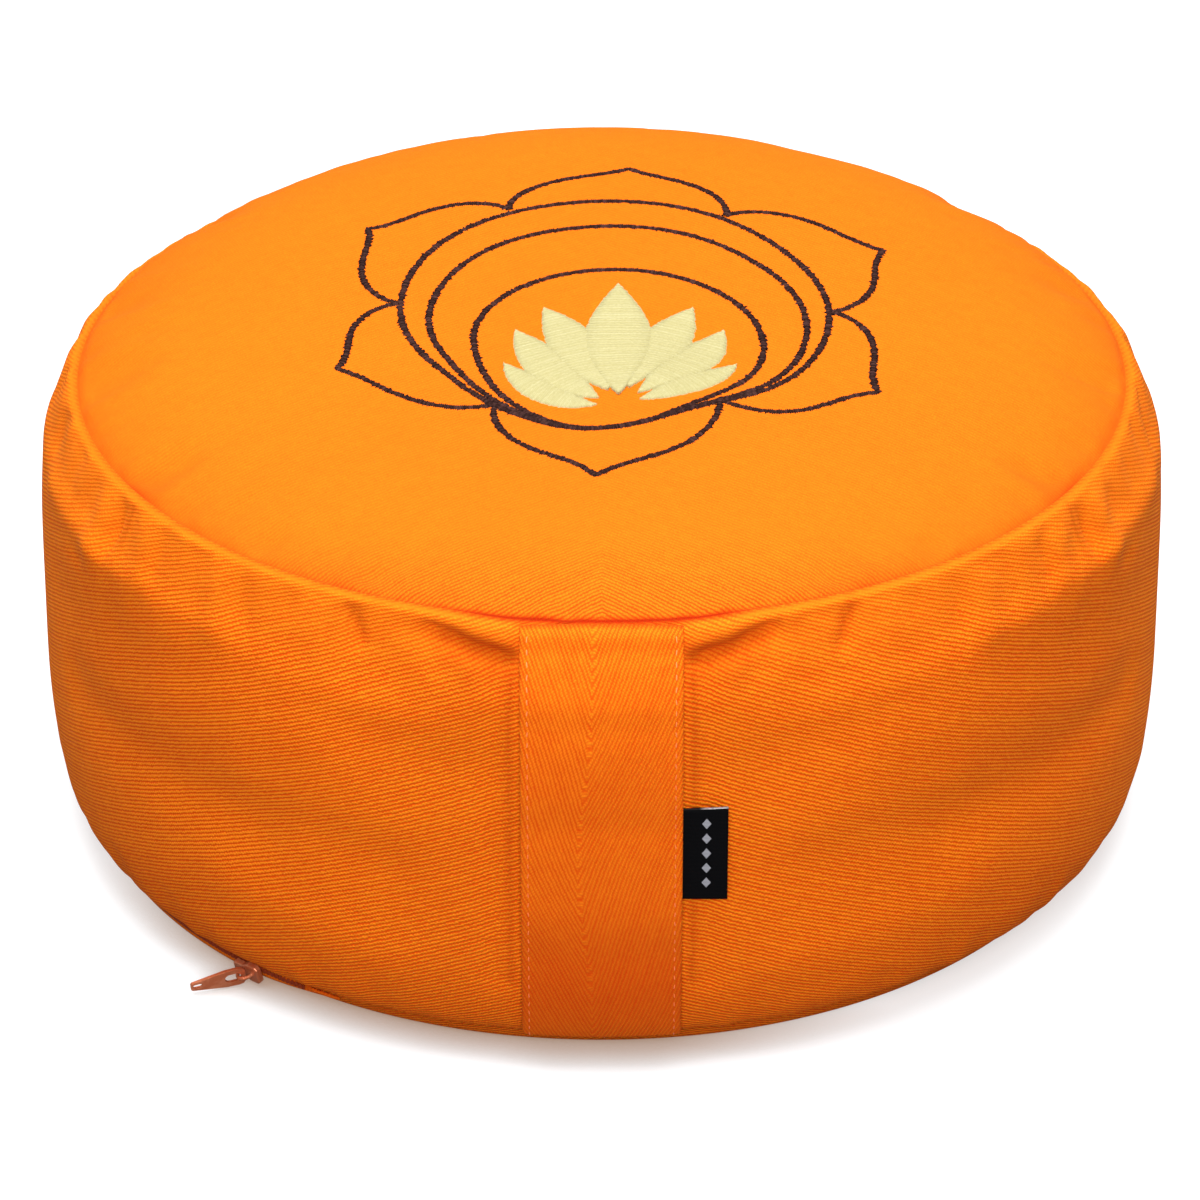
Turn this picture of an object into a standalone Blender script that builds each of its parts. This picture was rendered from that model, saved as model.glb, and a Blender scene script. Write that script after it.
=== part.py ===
"""A round, filled floor cushion with a carry strap, a bare label and a zip in its bottom seam.

Run with: blender --background --python part.py
Units are metres. +Z is up, the cushion rests on Z = 0 and its strap faces -Y.
"""

import math

import bmesh
import bpy
from mathutils import Matrix, Vector

# ---------------------------------------------------------------- the filled cushion
TOP_SEAM_RADIUS = 0.1540
TOP_SEAM_HEIGHT = 0.1385
BOTTOM_SEAM_RADIUS = 0.1538
BOTTOM_SEAM_HEIGHT = 0.0080
BASE_RADIUS = 0.1428  # the flat that the cushion rests on
BASE_ROUND = ((0.0035, 0.0004), (0.0067, 0.0020), (0.0087, 0.0050))  # out from that flat, and up
WALL_BULGE = 0.0106  # how far the filling pushes the wall out between its seams
WALL_FLATNESS = 4.0  # higher is straighter at mid height and rounder at the seams
WALL_SHOULDER = 0.6

CROWN_HEIGHT = 0.0181  # at the middle, above the top seam
CROWN_FLATNESS = 5.5
CROWN_LEAN = 0.1035  # the filling has settled to the back: rise per metre towards +Y
CROWN_LEAN_FLATNESS = 3.5

SEAM_DEPTH = 0.0016  # how far each sewn seam is drawn in
SEAM_REACH = 0.0040

AROUND = 128
WALL_STEPS = (0.0, 0.02, 0.06, 0.12, 0.20, 0.29, 0.38, 0.47, 0.56, 0.65, 0.73, 0.80, 0.86, 0.91, 0.95, 0.985, 1.0)
CROWN_STEPS = (0.98, 0.955, 0.90, 0.80, 0.68, 0.53, 0.36, 0.18)

# Creases and swells of the wall. Each one runs straight from one end to the other:
# azimuth from the front in degrees and height in metres, its half width, and how deep
# it is pressed in (a negative depth swells out). "both" is made left and right.
WALL_FOLDS = (
    # side, azimuth 1, height 1, azimuth 2, height 2, half width, depth
    ("both", 25.5, 0.1370, 23.4, 0.1250, 0.0050, 0.0030),
    ("both", 31.0, 0.1370, 29.8, 0.1215, 0.0050, 0.0018),
    ("both", 27.0, 0.1200, 26.0, 0.1080, 0.0070, -0.0014),
    ("both", 39.0, 0.1380, 36.4, 0.1290, 0.0055, 0.0030),
    ("both", 41.0, 0.1240, 39.0, 0.1180, 0.0080, -0.0018),
    ("both", 33.5, 0.1220, 33.5, 0.1150, 0.0070, -0.0012),
    ("both", 58.0, 0.1385, 54.0, 0.1310, 0.0065, 0.0038),
    ("both", 60.0, 0.1280, 57.5, 0.1225, 0.0080, -0.0022),
    ("both", 53.0, 0.1290, 52.0, 0.1230, 0.0070, -0.0016),
    ("both", 78.0, 0.1080, 60.0, 0.1110, 0.0090, 0.0026),
    ("both", 60.0, 0.1110, 40.0, 0.1125, 0.0100, 0.0018),
    ("both", 31.0, 0.1060, 12.0, 0.0960, 0.0100, 0.0012),
    ("both", 68.0, 0.0740, 36.0, 0.0760, 0.0110, 0.0014),
    ("both", 34.0, 0.0780, 14.0, 0.0580, 0.0100, 0.0014),
    ("both", 40.0, 0.0400, 20.0, 0.0290, 0.0110, -0.0012),
    ("both", 17.0, 0.1370, 9.5, 0.1325, 0.0055, 0.0034),
    ("both", 13.0, 0.1250, 10.5, 0.1230, 0.0070, -0.0014),
    ("both", 10.2, 0.1260, 10.2, 0.0300, 0.0050, 0.0010),
    ("left", 79.0, 0.1385, 75.0, 0.1240, 0.0070, 0.0030),
    ("right", 82.0, 0.1385, 79.0, 0.1250, 0.0070, 0.0026),
    ("left", 101.0, 0.1385, 97.0, 0.1220, 0.0080, 0.0034),
    ("right", 105.0, 0.1385, 103.0, 0.1200, 0.0080, 0.0030),
    ("left", 126.0, 0.1385, 123.0, 0.1240, 0.0075, 0.0030),
    ("right", 131.0, 0.1385, 126.0, 0.1210, 0.0080, 0.0034),
    ("left", 151.0, 0.1385, 149.0, 0.1230, 0.0080, 0.0028),
    ("right", 157.0, 0.1385, 153.0, 0.1220, 0.0075, 0.0030),
    ("left", 128.0, 0.1060, 98.0, 0.1090, 0.0110, 0.0020),
    ("right", 134.0, 0.1030, 104.0, 0.1080, 0.0110, 0.0020),
    ("left", 176.0, 0.0780, 140.0, 0.0700, 0.0120, 0.0016),
    ("right", 172.0, 0.0820, 138.0, 0.0900, 0.0120, 0.0016),
)

# Hollows of the top panel where the pleats pull at its edge.
CROWN_HOLLOWS = (
    # side, azimuth, radius at the inner end, half width, depth
    ("both", 58.5, 0.1380, 0.0070, 0.0026),
    ("both", 39.0, 0.1440, 0.0060, 0.0014),
    ("both", 25.5, 0.1440, 0.0060, 0.0014),
    ("both", 82.0, 0.1400, 0.0090, 0.0022),
    ("left", 101.0, 0.1400, 0.0080, 0.0020),
    ("right", 105.0, 0.1400, 0.0080, 0.0020),
    ("left", 126.0, 0.1420, 0.0080, 0.0018),
    ("right", 131.0, 0.1420, 0.0080, 0.0018),
)

# ---------------------------------------------------------------- the carry strap
STRAP_WIDTH = 0.0440
STRAP_THICKNESS = 0.0020
STRAP_GAP = 0.0005  # from the wall at the strap's middle
STRAP_BED = 0.0024  # how far it sinks into the wall where it enters the top seam
STRAP_BED_LOW = 0.1120
STRAP_BED_HIGH = 0.1280
STRAP_END_SHARE = 0.996  # of the way up the wall
STRAP_ROWS = 30
STRAP_COLUMNS = 8
STRAP_CURL = 0.12  # share of the wall's own roundness that the strap takes up

# ---------------------------------------------------------------- the label
LABEL_TOP = 0.0862
LABEL_BOTTOM = 0.0572
LABEL_OUTER_X = 0.0343
LABEL_TUCK = 0.0010  # how much of it goes in under the strap's edge
LABEL_THICKNESS = 0.0010
LABEL_GAP = 0.0003

# ---------------------------------------------------------------- the zip
ZIP_START_AZIMUTH = -60.0
ZIP_END_AZIMUTH = -29.0
ZIP_RADIUS = 0.1520
ZIP_HEIGHT = 0.0053
ZIP_TILT = math.radians(-16.0)  # it faces outwards and a little down
ZIP_WIDTH = 0.0050
TAPE_THICKNESS = 0.0008
TOOTH_PITCH_DEGREES = 0.5
TOOTH_HEIGHT = 0.0007
TOOTH_WIDTH = 0.0030

SLIDER_AZIMUTH = -40.6
SLIDER_LENGTH = 0.0095
SLIDER_WIDTH = 0.0064
SLIDER_NECK_WIDTH = 0.0044
SLIDER_THICKNESS = 0.0018
SLIDER_CLEARANCE = 0.0003
BRIDGE_SPAN = 0.0046
BRIDGE_RISE = 0.0034
BRIDGE_WIRE = 0.0006

PULL_LENGTH = 0.0154
PULL_EYE_WIDTH = 0.0060
PULL_TIP_WIDTH = 0.0025
PULL_THICKNESS = 0.0010
PULL_BAR = 0.0006  # half the width of the bar that turns under the bridge
PULL_PIVOT = 0.00115  # height of that bar's middle above the slider's plate
PULL_TIP = Vector((-0.1178, -0.1232, 0.0022))

COLLECTION_NAME = "round floor cushion"


# ---------------------------------------------------------------- small helpers
def smooth(low, high, value):
    """0 below low, 1 above high, with an even curve between."""
    share = min(max((value - low) / (high - low), 0.0), 1.0)
    return share * share * (3.0 - 2.0 * share)


def bell(distance, half_width):
    return math.exp(-((distance / half_width) ** 2))


def around_z(azimuth, radius, height):
    """A point at an azimuth in degrees: 0 is the front, -Y, and + is towards +X."""
    angle = math.radians(azimuth)
    return Vector((radius * math.sin(angle), -radius * math.cos(angle), height))


def sides_of(side):
    return {"both": (-1.0, 1.0), "left": (-1.0,), "right": (1.0,)}[side]


def segment_distance(x, y, x1, y1, x2, y2):
    """How far a flat point is from the straight line between two others."""
    along_x, along_y = x2 - x1, y2 - y1
    share = ((x - x1) * along_x + (y - y1) * along_y) / (along_x**2 + along_y**2)
    share = min(max(share, 0.0), 1.0)
    return math.hypot(x - x1 - share * along_x, y - y1 - share * along_y)


# ---------------------------------------------------------------- the cushion's form
def wall_radius(height):
    """The bulging wall, before any folds."""
    share = (height - BOTTOM_SEAM_HEIGHT) / (TOP_SEAM_HEIGHT - BOTTOM_SEAM_HEIGHT)
    share = min(max(share, 0.0), 1.0)
    straight = BOTTOM_SEAM_RADIUS + (TOP_SEAM_RADIUS - BOTTOM_SEAM_RADIUS) * share
    swell = (1.0 - abs(2.0 * share - 1.0) ** WALL_FLATNESS) ** WALL_SHOULDER
    return straight + WALL_BULGE * swell


def crown_rise(x, y):
    """Height of the top panel above its seam: fuller at the back than at the front."""
    share = min(math.hypot(x, y) / TOP_SEAM_RADIUS, 1.0)
    dome = CROWN_HEIGHT * (1.0 - share**CROWN_FLATNESS)
    lean = CROWN_LEAN * y * (1.0 - share**CROWN_LEAN_FLATNESS)
    return dome + lean


def wall_press(azimuth, height):
    """How far all folds together press the wall in at this place."""
    around = math.radians(azimuth) * (BOTTOM_SEAM_RADIUS + WALL_BULGE)
    pressed = 0.0
    for side, azimuth_1, height_1, azimuth_2, height_2, half_width, depth in WALL_FOLDS:
        for sign in sides_of(side):
            per_degree = sign * math.radians(1.0) * (BOTTOM_SEAM_RADIUS + WALL_BULGE)
            distance = segment_distance(
                around, height, azimuth_1 * per_degree, height_1, azimuth_2 * per_degree, height_2
            )
            pressed += depth * bell(distance, half_width)
    beside_strap = smooth(0.50 * STRAP_WIDTH, 0.64 * STRAP_WIDTH, abs(around))
    return pressed * beside_strap + strap_bed(height) * (1.0 - beside_strap)


def strap_bed(height):
    """How far the strap has sunk into the wall at this height."""
    return STRAP_BED * smooth(STRAP_BED_LOW, STRAP_BED_HIGH, height)


def crown_press(azimuth, radius):
    pressed = 0.0
    for side, place, inner_radius, half_width, depth in CROWN_HOLLOWS:
        for sign in sides_of(side):
            around = math.radians(azimuth - sign * place) * radius
            distance = math.hypot(around, max(inner_radius - radius, 0.0))
            pressed += depth * bell(distance, half_width)
    return pressed


def cushion_profile():
    """(radius, height) from the edge of the resting flat to the middle of a flat top."""
    points = [(BASE_RADIUS, 0.0)]
    points += [(BASE_RADIUS + out, up) for out, up in BASE_ROUND]
    for share in WALL_STEPS:
        height = BOTTOM_SEAM_HEIGHT + (TOP_SEAM_HEIGHT - BOTTOM_SEAM_HEIGHT) * share
        radius = wall_radius(height)
        for seam_height in (BOTTOM_SEAM_HEIGHT, TOP_SEAM_HEIGHT):
            radius -= SEAM_DEPTH * bell(height - seam_height, SEAM_REACH)
        points.append((radius, height))
    for share in CROWN_STEPS:
        points.append((TOP_SEAM_RADIUS * share, TOP_SEAM_HEIGHT))
    points.append((0.0, TOP_SEAM_HEIGHT))
    return points


def shape_cushion(point):
    """Lifts the crown of the spun form and presses its folds in."""
    radius = math.hypot(point.x, point.y)
    if radius < 1e-6 or point.z < 1e-6:
        azimuth = 0.0
    else:
        azimuth = math.degrees(math.atan2(point.x, -point.y))
    on_top = point.z > TOP_SEAM_HEIGHT - 1e-6 and radius < TOP_SEAM_RADIUS - SEAM_DEPTH - 1e-4
    if on_top:
        fade = smooth(TOP_SEAM_RADIUS, TOP_SEAM_RADIUS - 0.008, radius)
        rise = crown_rise(point.x, point.y) - crown_press(azimuth, radius) * fade
        return Vector((point.x, point.y, point.z + rise))
    if point.z < BOTTOM_SEAM_HEIGHT - 1e-6:
        return point.copy()
    # The folds die out just before each seam, which the stitches hold in place.
    held = smooth(BOTTOM_SEAM_HEIGHT, BOTTOM_SEAM_HEIGHT + 0.010, point.z)
    held *= 1.0 - 0.85 * smooth(TOP_SEAM_HEIGHT - 0.004, TOP_SEAM_HEIGHT, point.z)
    pressed = wall_press(azimuth, point.z) * held
    return around_z(azimuth, radius - pressed, point.z)


# ---------------------------------------------------------------- scene and material helpers
def clear_scene():
    for obj in list(bpy.data.objects):
        bpy.data.objects.remove(obj, do_unlink=True)


def make_material(name, colour, roughness, metallic=0.0):
    material = bpy.data.materials.new(name)
    material.use_nodes = True
    shader = material.node_tree.nodes["Principled BSDF"]
    shader.inputs["Base Color"].default_value = (*colour, 1.0)
    shader.inputs["Roughness"].default_value = roughness
    shader.inputs["Metallic"].default_value = metallic
    material.diffuse_color = (*colour, 1.0)
    return material


def make_object(name, bm, material, collection, smooth_shaded=True):
    """Turns a finished bmesh into a named object of the collection."""
    bmesh.ops.recalc_face_normals(bm, faces=bm.faces)
    for face in bm.faces:
        face.smooth = smooth_shaded
    mesh = bpy.data.meshes.new(name)
    bm.to_mesh(mesh)
    bm.free()
    mesh.materials.append(material)
    obj = bpy.data.objects.new(name, mesh)
    collection.objects.link(obj)
    return obj


def loft(bm, sections):
    """Joins closed rings of the same count into one solid with capped ends."""
    rings = [[bm.verts.new(point) for point in section] for section in sections]
    for ring, following in zip(rings, rings[1:]):
        count = len(ring)
        for i in range(count):
            j = (i + 1) % count
            bm.faces.new((ring[i], ring[j], following[j], following[i]))
    bm.faces.new(rings[0])
    bm.faces.new(rings[-1])


# ---------------------------------------------------------------- the pieces
def make_cushion(collection, material):
    """One filled solid: a profile spun round Z, then lifted and creased."""
    bm = bmesh.new()
    profile = [bm.verts.new((0.0, -radius, height)) for radius, height in cushion_profile()]
    edges = [bm.edges.new(pair) for pair in zip(profile, profile[1:])]
    bmesh.ops.spin(
        bm,
        geom=profile + edges,
        cent=(0.0, 0.0, 0.0),
        axis=(0.0, 0.0, 1.0),
        angle=math.tau,
        steps=AROUND,
        use_merge=True,
        use_duplicate=False,
    )
    bmesh.ops.remove_doubles(bm, verts=bm.verts, dist=1e-6)
    open_edges = [edge for edge in bm.edges if len(edge.link_faces) == 1]
    bmesh.ops.contextual_create(bm, geom=open_edges)
    for vertex in bm.verts:
        vertex.co = shape_cushion(vertex.co)
    return make_object("cushion", bm, material, collection)


def wall_height(share):
    return BOTTOM_SEAM_HEIGHT + (TOP_SEAM_HEIGHT - BOTTOM_SEAM_HEIGHT) * share


def strap_place(share):
    """A point of the strap's back and the way it faces, at its middle: (out, up) pairs."""
    height = wall_height(share)
    below = wall_height(share - 0.003)
    above = wall_height(share + 0.003)
    tangent = Vector((wall_radius(above) - wall_radius(below), above - below)).normalized()
    facing = Vector((tangent.y, -tangent.x))
    place = Vector((wall_radius(height) - strap_bed(height), height)) + facing * STRAP_GAP
    return place, facing


def make_strap(collection, material):
    """A flat sheet from seam to seam, held a little off the wall at its edges."""
    bm = bmesh.new()
    sections = []
    for row in range(STRAP_ROWS + 1):
        # Rows crowd towards both ends, where the strap turns in to the seams.
        share = STRAP_END_SHARE * (0.5 - 0.5 * math.cos(math.pi * row / STRAP_ROWS))
        place, facing = strap_place(share)
        section = []
        for outward in (0.0, STRAP_THICKNESS):
            columns = range(STRAP_COLUMNS + 1)
            for column in columns if outward == 0.0 else reversed(columns):
                x = STRAP_WIDTH * (column / STRAP_COLUMNS - 0.5)
                curl = STRAP_CURL * (place.x - math.sqrt(place.x**2 - x**2))
                spot = place + facing * (outward - curl)
                section.append((x, -spot.x, spot.y))
        sections.append(section)
    loft(bm, sections)
    return make_object("carry_strap", bm, material, collection)


def make_label(collection, material):
    """A short folded tape that comes out from under the strap's right edge."""
    bm = bmesh.new()
    rows, columns = 8, 6
    inner_x = 0.5 * STRAP_WIDTH - LABEL_TUCK
    sections = []
    for row in range(rows + 1):
        height = LABEL_BOTTOM + (LABEL_TOP - LABEL_BOTTOM) * row / rows
        section = []
        for outward in (0.0, LABEL_THICKNESS):
            steps = range(columns + 1)
            for column in steps if outward == 0.0 else reversed(steps):
                x = inner_x + (LABEL_OUTER_X - inner_x) * column / columns
                distance = wall_radius(height) + LABEL_GAP + outward
                section.append((x, -math.sqrt(distance**2 - x**2), height))
        sections.append(section)
    loft(bm, sections)
    return make_object("side_label", bm, material, collection)


def zip_point(azimuth, outward, across):
    """A point of the zip: outward from its tape's back, across from its middle line."""
    radius = ZIP_RADIUS + outward * math.cos(ZIP_TILT) - across * math.sin(ZIP_TILT)
    height = ZIP_HEIGHT + outward * math.sin(ZIP_TILT) + across * math.cos(ZIP_TILT)
    return around_z(azimuth, radius, height)


def make_zip_chain(collection, material):
    """Closed teeth on their narrow tape, along the part of the seam that shows."""
    bm = bmesh.new()
    count = int((ZIP_END_AZIMUTH - ZIP_START_AZIMUTH) / TOOTH_PITCH_DEGREES)
    half_tape = 0.5 * ZIP_WIDTH
    half_tooth = 0.5 * TOOTH_WIDTH
    sections = []
    for step in range(count + 1):
        azimuth = ZIP_START_AZIMUTH + step * TOOTH_PITCH_DEGREES
        raised = TAPE_THICKNESS + TOOTH_HEIGHT * (1.0 if step % 2 else 0.35)
        outline = (
            (0.0, -half_tape),
            (0.0, half_tape),
            (TAPE_THICKNESS, half_tape),
            (TAPE_THICKNESS, half_tooth),
            (raised, 0.7 * half_tooth),
            (raised, -0.7 * half_tooth),
            (TAPE_THICKNESS, -half_tooth),
            (TAPE_THICKNESS, -half_tape),
        )
        sections.append([zip_point(azimuth, outward, across) for outward, across in outline])
    loft(bm, sections)
    return make_object("zip_chain", bm, material, collection, smooth_shaded=False)


def slider_frame():
    """Local axes of the slider: X along the zip, Y up across it, Z outward."""
    azimuth = math.radians(SLIDER_AZIMUTH)
    along = Vector((math.cos(azimuth), math.sin(azimuth), 0.0))
    outward = Vector((math.sin(azimuth), -math.cos(azimuth), 0.0)) * math.cos(ZIP_TILT)
    outward.z = math.sin(ZIP_TILT)
    across = outward.cross(along)
    lift = TAPE_THICKNESS + TOOTH_HEIGHT + SLIDER_CLEARANCE
    place = zip_point(SLIDER_AZIMUTH, lift, 0.0)
    frame = Matrix((along, across, outward)).transposed().to_4x4()
    frame.translation = place
    return frame


def slider_outline():
    """Half outlines of the slider's plate: (along, half width), wide shoulders and a neck."""
    half = 0.5 * SLIDER_LENGTH
    return (
        (-half, 0.35 * SLIDER_NECK_WIDTH),
        (-0.85 * half, 0.5 * SLIDER_NECK_WIDTH),
        (-0.25 * half, 0.5 * SLIDER_NECK_WIDTH),
        (0.20 * half, 0.5 * SLIDER_WIDTH),
        (0.80 * half, 0.5 * SLIDER_WIDTH),
        (half, 0.36 * SLIDER_WIDTH),
    )


def make_slider(collection, material):
    """A flared plate with a wire bridge standing on it."""
    bm = bmesh.new()
    outline = [Vector((x, y, 0.0)) for x, y in slider_outline()]
    outline += [Vector((x, -y, 0.0)) for x, y in reversed(slider_outline())]
    face = bm.faces.new([bm.verts.new(point) for point in outline])
    grown = bmesh.ops.extrude_face_region(bm, geom=[face])
    top = [item for item in grown["geom"] if isinstance(item, bmesh.types.BMVert)]
    bmesh.ops.translate(bm, verts=top, vec=(0.0, 0.0, SLIDER_THICKNESS))
    sharp = [edge for edge in bm.edges if edge.verts[0].co.z > 0.0 and edge.verts[1].co.z > 0.0]
    bmesh.ops.bevel(bm, geom=sharp, offset=0.0004, segments=2, affect="EDGES", profile=0.5)
    plate = make_object("zip_slider", bm, material, collection)
    bridge = make_bridge(collection)
    union = plate.modifiers.new("bridge", "BOOLEAN")
    union.operation = "UNION"
    union.solver = "EXACT"
    union.object = bridge
    plate.matrix_world = slider_frame()
    bridge.matrix_world = slider_frame()
    return plate


def make_bridge(collection):
    """The bent wire that holds the pull: a helper that the slider takes in."""
    bm = bmesh.new()
    sections = []
    for step in range(13):
        angle = math.pi * step / 12.0
        centre = Vector((
            -0.5 * BRIDGE_SPAN * math.cos(angle),
            0.0,
            SLIDER_THICKNESS - 0.0006 + BRIDGE_RISE * math.sin(angle),
        ))
        out = Vector((-math.cos(angle), 0.0, math.sin(angle)))
        ring = []
        for corner in range(8):
            turn = math.tau * corner / 8.0
            ring.append(centre + BRIDGE_WIRE * (math.cos(turn) * out + math.sin(turn) * Vector((0.0, 1.0, 0.0))))
        sections.append(ring)
    loft(bm, sections)
    bridge = make_object("bridge cutter", bm, bpy.data.materials[0], collection)
    bridge.hide_render = True
    return bridge


def capsule(centre_x, half_length, half_width, points=8):
    """Outline of a rounded slot along X."""
    outline = []
    for end in (1.0, -1.0):
        for step in range(points + 1):
            angle = -0.5 * math.pi + math.pi * step / points
            outline.append(Vector((
                centre_x + end * (half_length - half_width + half_width * math.cos(angle)),
                end * half_width * math.sin(angle),
                0.0,
            )))
    return outline


def prism(name, outline, low, high, collection):
    bm = bmesh.new()
    face = bm.faces.new([bm.verts.new((point.x, point.y, low)) for point in outline])
    grown = bmesh.ops.extrude_face_region(bm, geom=[face])
    top = [item for item in grown["geom"] if isinstance(item, bmesh.types.BMVert)]
    bmesh.ops.translate(bm, verts=top, vec=(0.0, 0.0, high - low))
    return make_object(name, bm, bpy.data.materials[0], collection, smooth_shaded=False)


def pull_outline():
    """The tab's edge, along X from the bar under the bridge to its square tip."""
    half_eye = 0.5 * PULL_EYE_WIDTH
    half_tip = 0.5 * PULL_TIP_WIDTH
    chamfer = 0.0004
    upper = (
        (-PULL_BAR, half_eye - 0.0012),
        (0.0002, half_eye - 0.0003),
        (0.0014, half_eye),
        (0.34 * PULL_LENGTH, half_eye - 0.0001),
        (PULL_LENGTH - chamfer, half_tip),
        (PULL_LENGTH, half_tip - chamfer),
    )
    outline = [Vector((x, y, 0.0)) for x, y in upper]
    outline += [Vector((x, -y, 0.0)) for x, y in reversed(upper)]
    return outline


def pull_frame():
    """Local axes of the pull: X from the bridge to the tip, Y across the zip."""
    slider = slider_frame()
    pivot = slider @ Vector((0.0, 0.0, SLIDER_THICKNESS + PULL_PIVOT))
    along = (PULL_TIP - pivot).normalized()
    slider_across = slider.to_3x3().col[1]
    face = along.cross(slider_across).normalized()
    across = face.cross(along)
    frame = Matrix((along, across, face)).transposed().to_4x4()
    frame.translation = pivot
    return frame


def make_pull(collection, material):
    """A thin tapered tab with a long eye and a slot cut through it."""
    half = 0.5 * PULL_THICKNESS
    pull = prism("zip_pull", pull_outline(), -half, half, collection)
    pull.data.materials[0] = material
    cuts = (
        ("eye cutter", capsule(PULL_BAR + 0.0024, 0.0024, 0.0014)),
        ("slot cutter", capsule(0.87 * PULL_LENGTH, 0.0014, 0.0007)),
    )
    frame = pull_frame()
    for name, outline in cuts:
        cutter = prism(name, outline, -PULL_THICKNESS, PULL_THICKNESS, collection)
        cutter.hide_render = True
        cutter.matrix_world = frame
        cut = pull.modifiers.new(name, "BOOLEAN")
        cut.operation = "DIFFERENCE"
        cut.solver = "EXACT"
        cut.object = cutter
    pull.matrix_world = frame
    return pull


def main():
    clear_scene()
    collection = bpy.data.collections.new(COLLECTION_NAME)
    bpy.context.scene.collection.children.link(collection)
    cloth = make_material("orange cotton twill", (0.93, 0.27, 0.015), 0.85)
    strap_cloth = make_material("orange strap twill", (0.90, 0.25, 0.015), 0.85)
    woven = make_material("black woven label", (0.012, 0.012, 0.014), 0.75)
    teeth = make_material("red brown zip teeth", (0.22, 0.045, 0.02), 0.5)
    copper = make_material("copper lacquered metal", (0.62, 0.20, 0.08), 0.35, 0.6)
    make_cushion(collection, cloth)
    make_strap(collection, strap_cloth)
    make_label(collection, woven)
    make_zip_chain(collection, teeth)
    make_slider(collection, copper)
    make_pull(collection, copper)


main()
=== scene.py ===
"""Looks of the round floor cushion: its cloth, embroidery, strap, label and zip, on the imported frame.

Units are metres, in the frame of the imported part: +Z is up and the strap faces -Y. An azimuth is in degrees
from the strap, positive towards +X, and a share runs from 0 to 1.
"""

import math

import bmesh
import bpy
import numpy as np
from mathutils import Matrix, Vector


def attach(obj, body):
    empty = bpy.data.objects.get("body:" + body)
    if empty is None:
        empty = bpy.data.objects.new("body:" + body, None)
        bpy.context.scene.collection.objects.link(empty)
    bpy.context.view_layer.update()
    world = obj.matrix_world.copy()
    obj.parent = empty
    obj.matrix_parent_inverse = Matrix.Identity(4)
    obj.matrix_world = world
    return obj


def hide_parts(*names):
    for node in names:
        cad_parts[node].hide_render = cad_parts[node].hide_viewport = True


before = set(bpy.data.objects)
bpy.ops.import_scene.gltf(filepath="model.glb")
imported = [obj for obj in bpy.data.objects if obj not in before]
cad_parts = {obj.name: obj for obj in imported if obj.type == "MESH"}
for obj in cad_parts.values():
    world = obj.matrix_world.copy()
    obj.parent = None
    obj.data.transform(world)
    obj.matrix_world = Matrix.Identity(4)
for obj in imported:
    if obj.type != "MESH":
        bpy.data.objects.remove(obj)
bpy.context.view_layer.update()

# ------- the camera of the photograph
CAMERA_PLACE = (-0.00044, -1.4259, 0.8512)
CAMERA_DOWN = math.radians(29.03)
CAMERA_LENS = 163.9
CAMERA_SENSOR = 36

# ------- the cushion's form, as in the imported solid
SEAM_RADIUS = 0.154
SEAM_HEIGHT = 0.1385
FOOT_RADIUS = 0.1538
FOOT_HEIGHT = 0.008
BASE_RADII = (0.0005, 0.06, 0.11, 0.1428)  # rings on the flat base, out to its edge
BASE_ROUND = ((0.0035, 0.0004), (0.0067, 0.002), (0.0087, 0.005))  # out and up from that edge
WALL_BULGE = 0.0106
WALL_WIDEST = FOOT_RADIUS + WALL_BULGE
WALL_DEGREE = math.radians(1) * WALL_WIDEST
WALL_FLATNESS = 4.0
WALL_SHOULDER = 0.6
CROWN_HEIGHT = 0.0181
CROWN_FLATNESS = 5.5
CROWN_LEAN = 0.1035
CROWN_LEAN_FLATNESS = 3.5
STRAP_BED = 0.0024
STRAP_BED_LOW = 0.116
STRAP_BED_HIGH = 0.132

# The visible cloth is finer than the solid: closer rows, narrower seams, sharper pleats.
AROUND = 576
BASE_ROWS = 10
WALL_ROWS = 84
WALL_ROW_EASE = 0.75
CROWN_ROWS = 58
CROWN_ROW_POWER = 1.6
SEAM_DEPTH = 0.0016
SEAM_EDGE = SEAM_RADIUS - SEAM_DEPTH
FOOT_SEAM_DEPTH = 0.001
SEAM_REACH = 0.0013
SEAM_LIP = 0.0004
SEAM_LIP_RISE = (0.0004, 0.003)  # distances from the seam
SEAM_LIP_FALL = (0.006, 0.03)
SEAM_DIP = 0.0009  # where the strap pulls the top seam down
SEAM_DIP_REACH = 0.009

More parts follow.
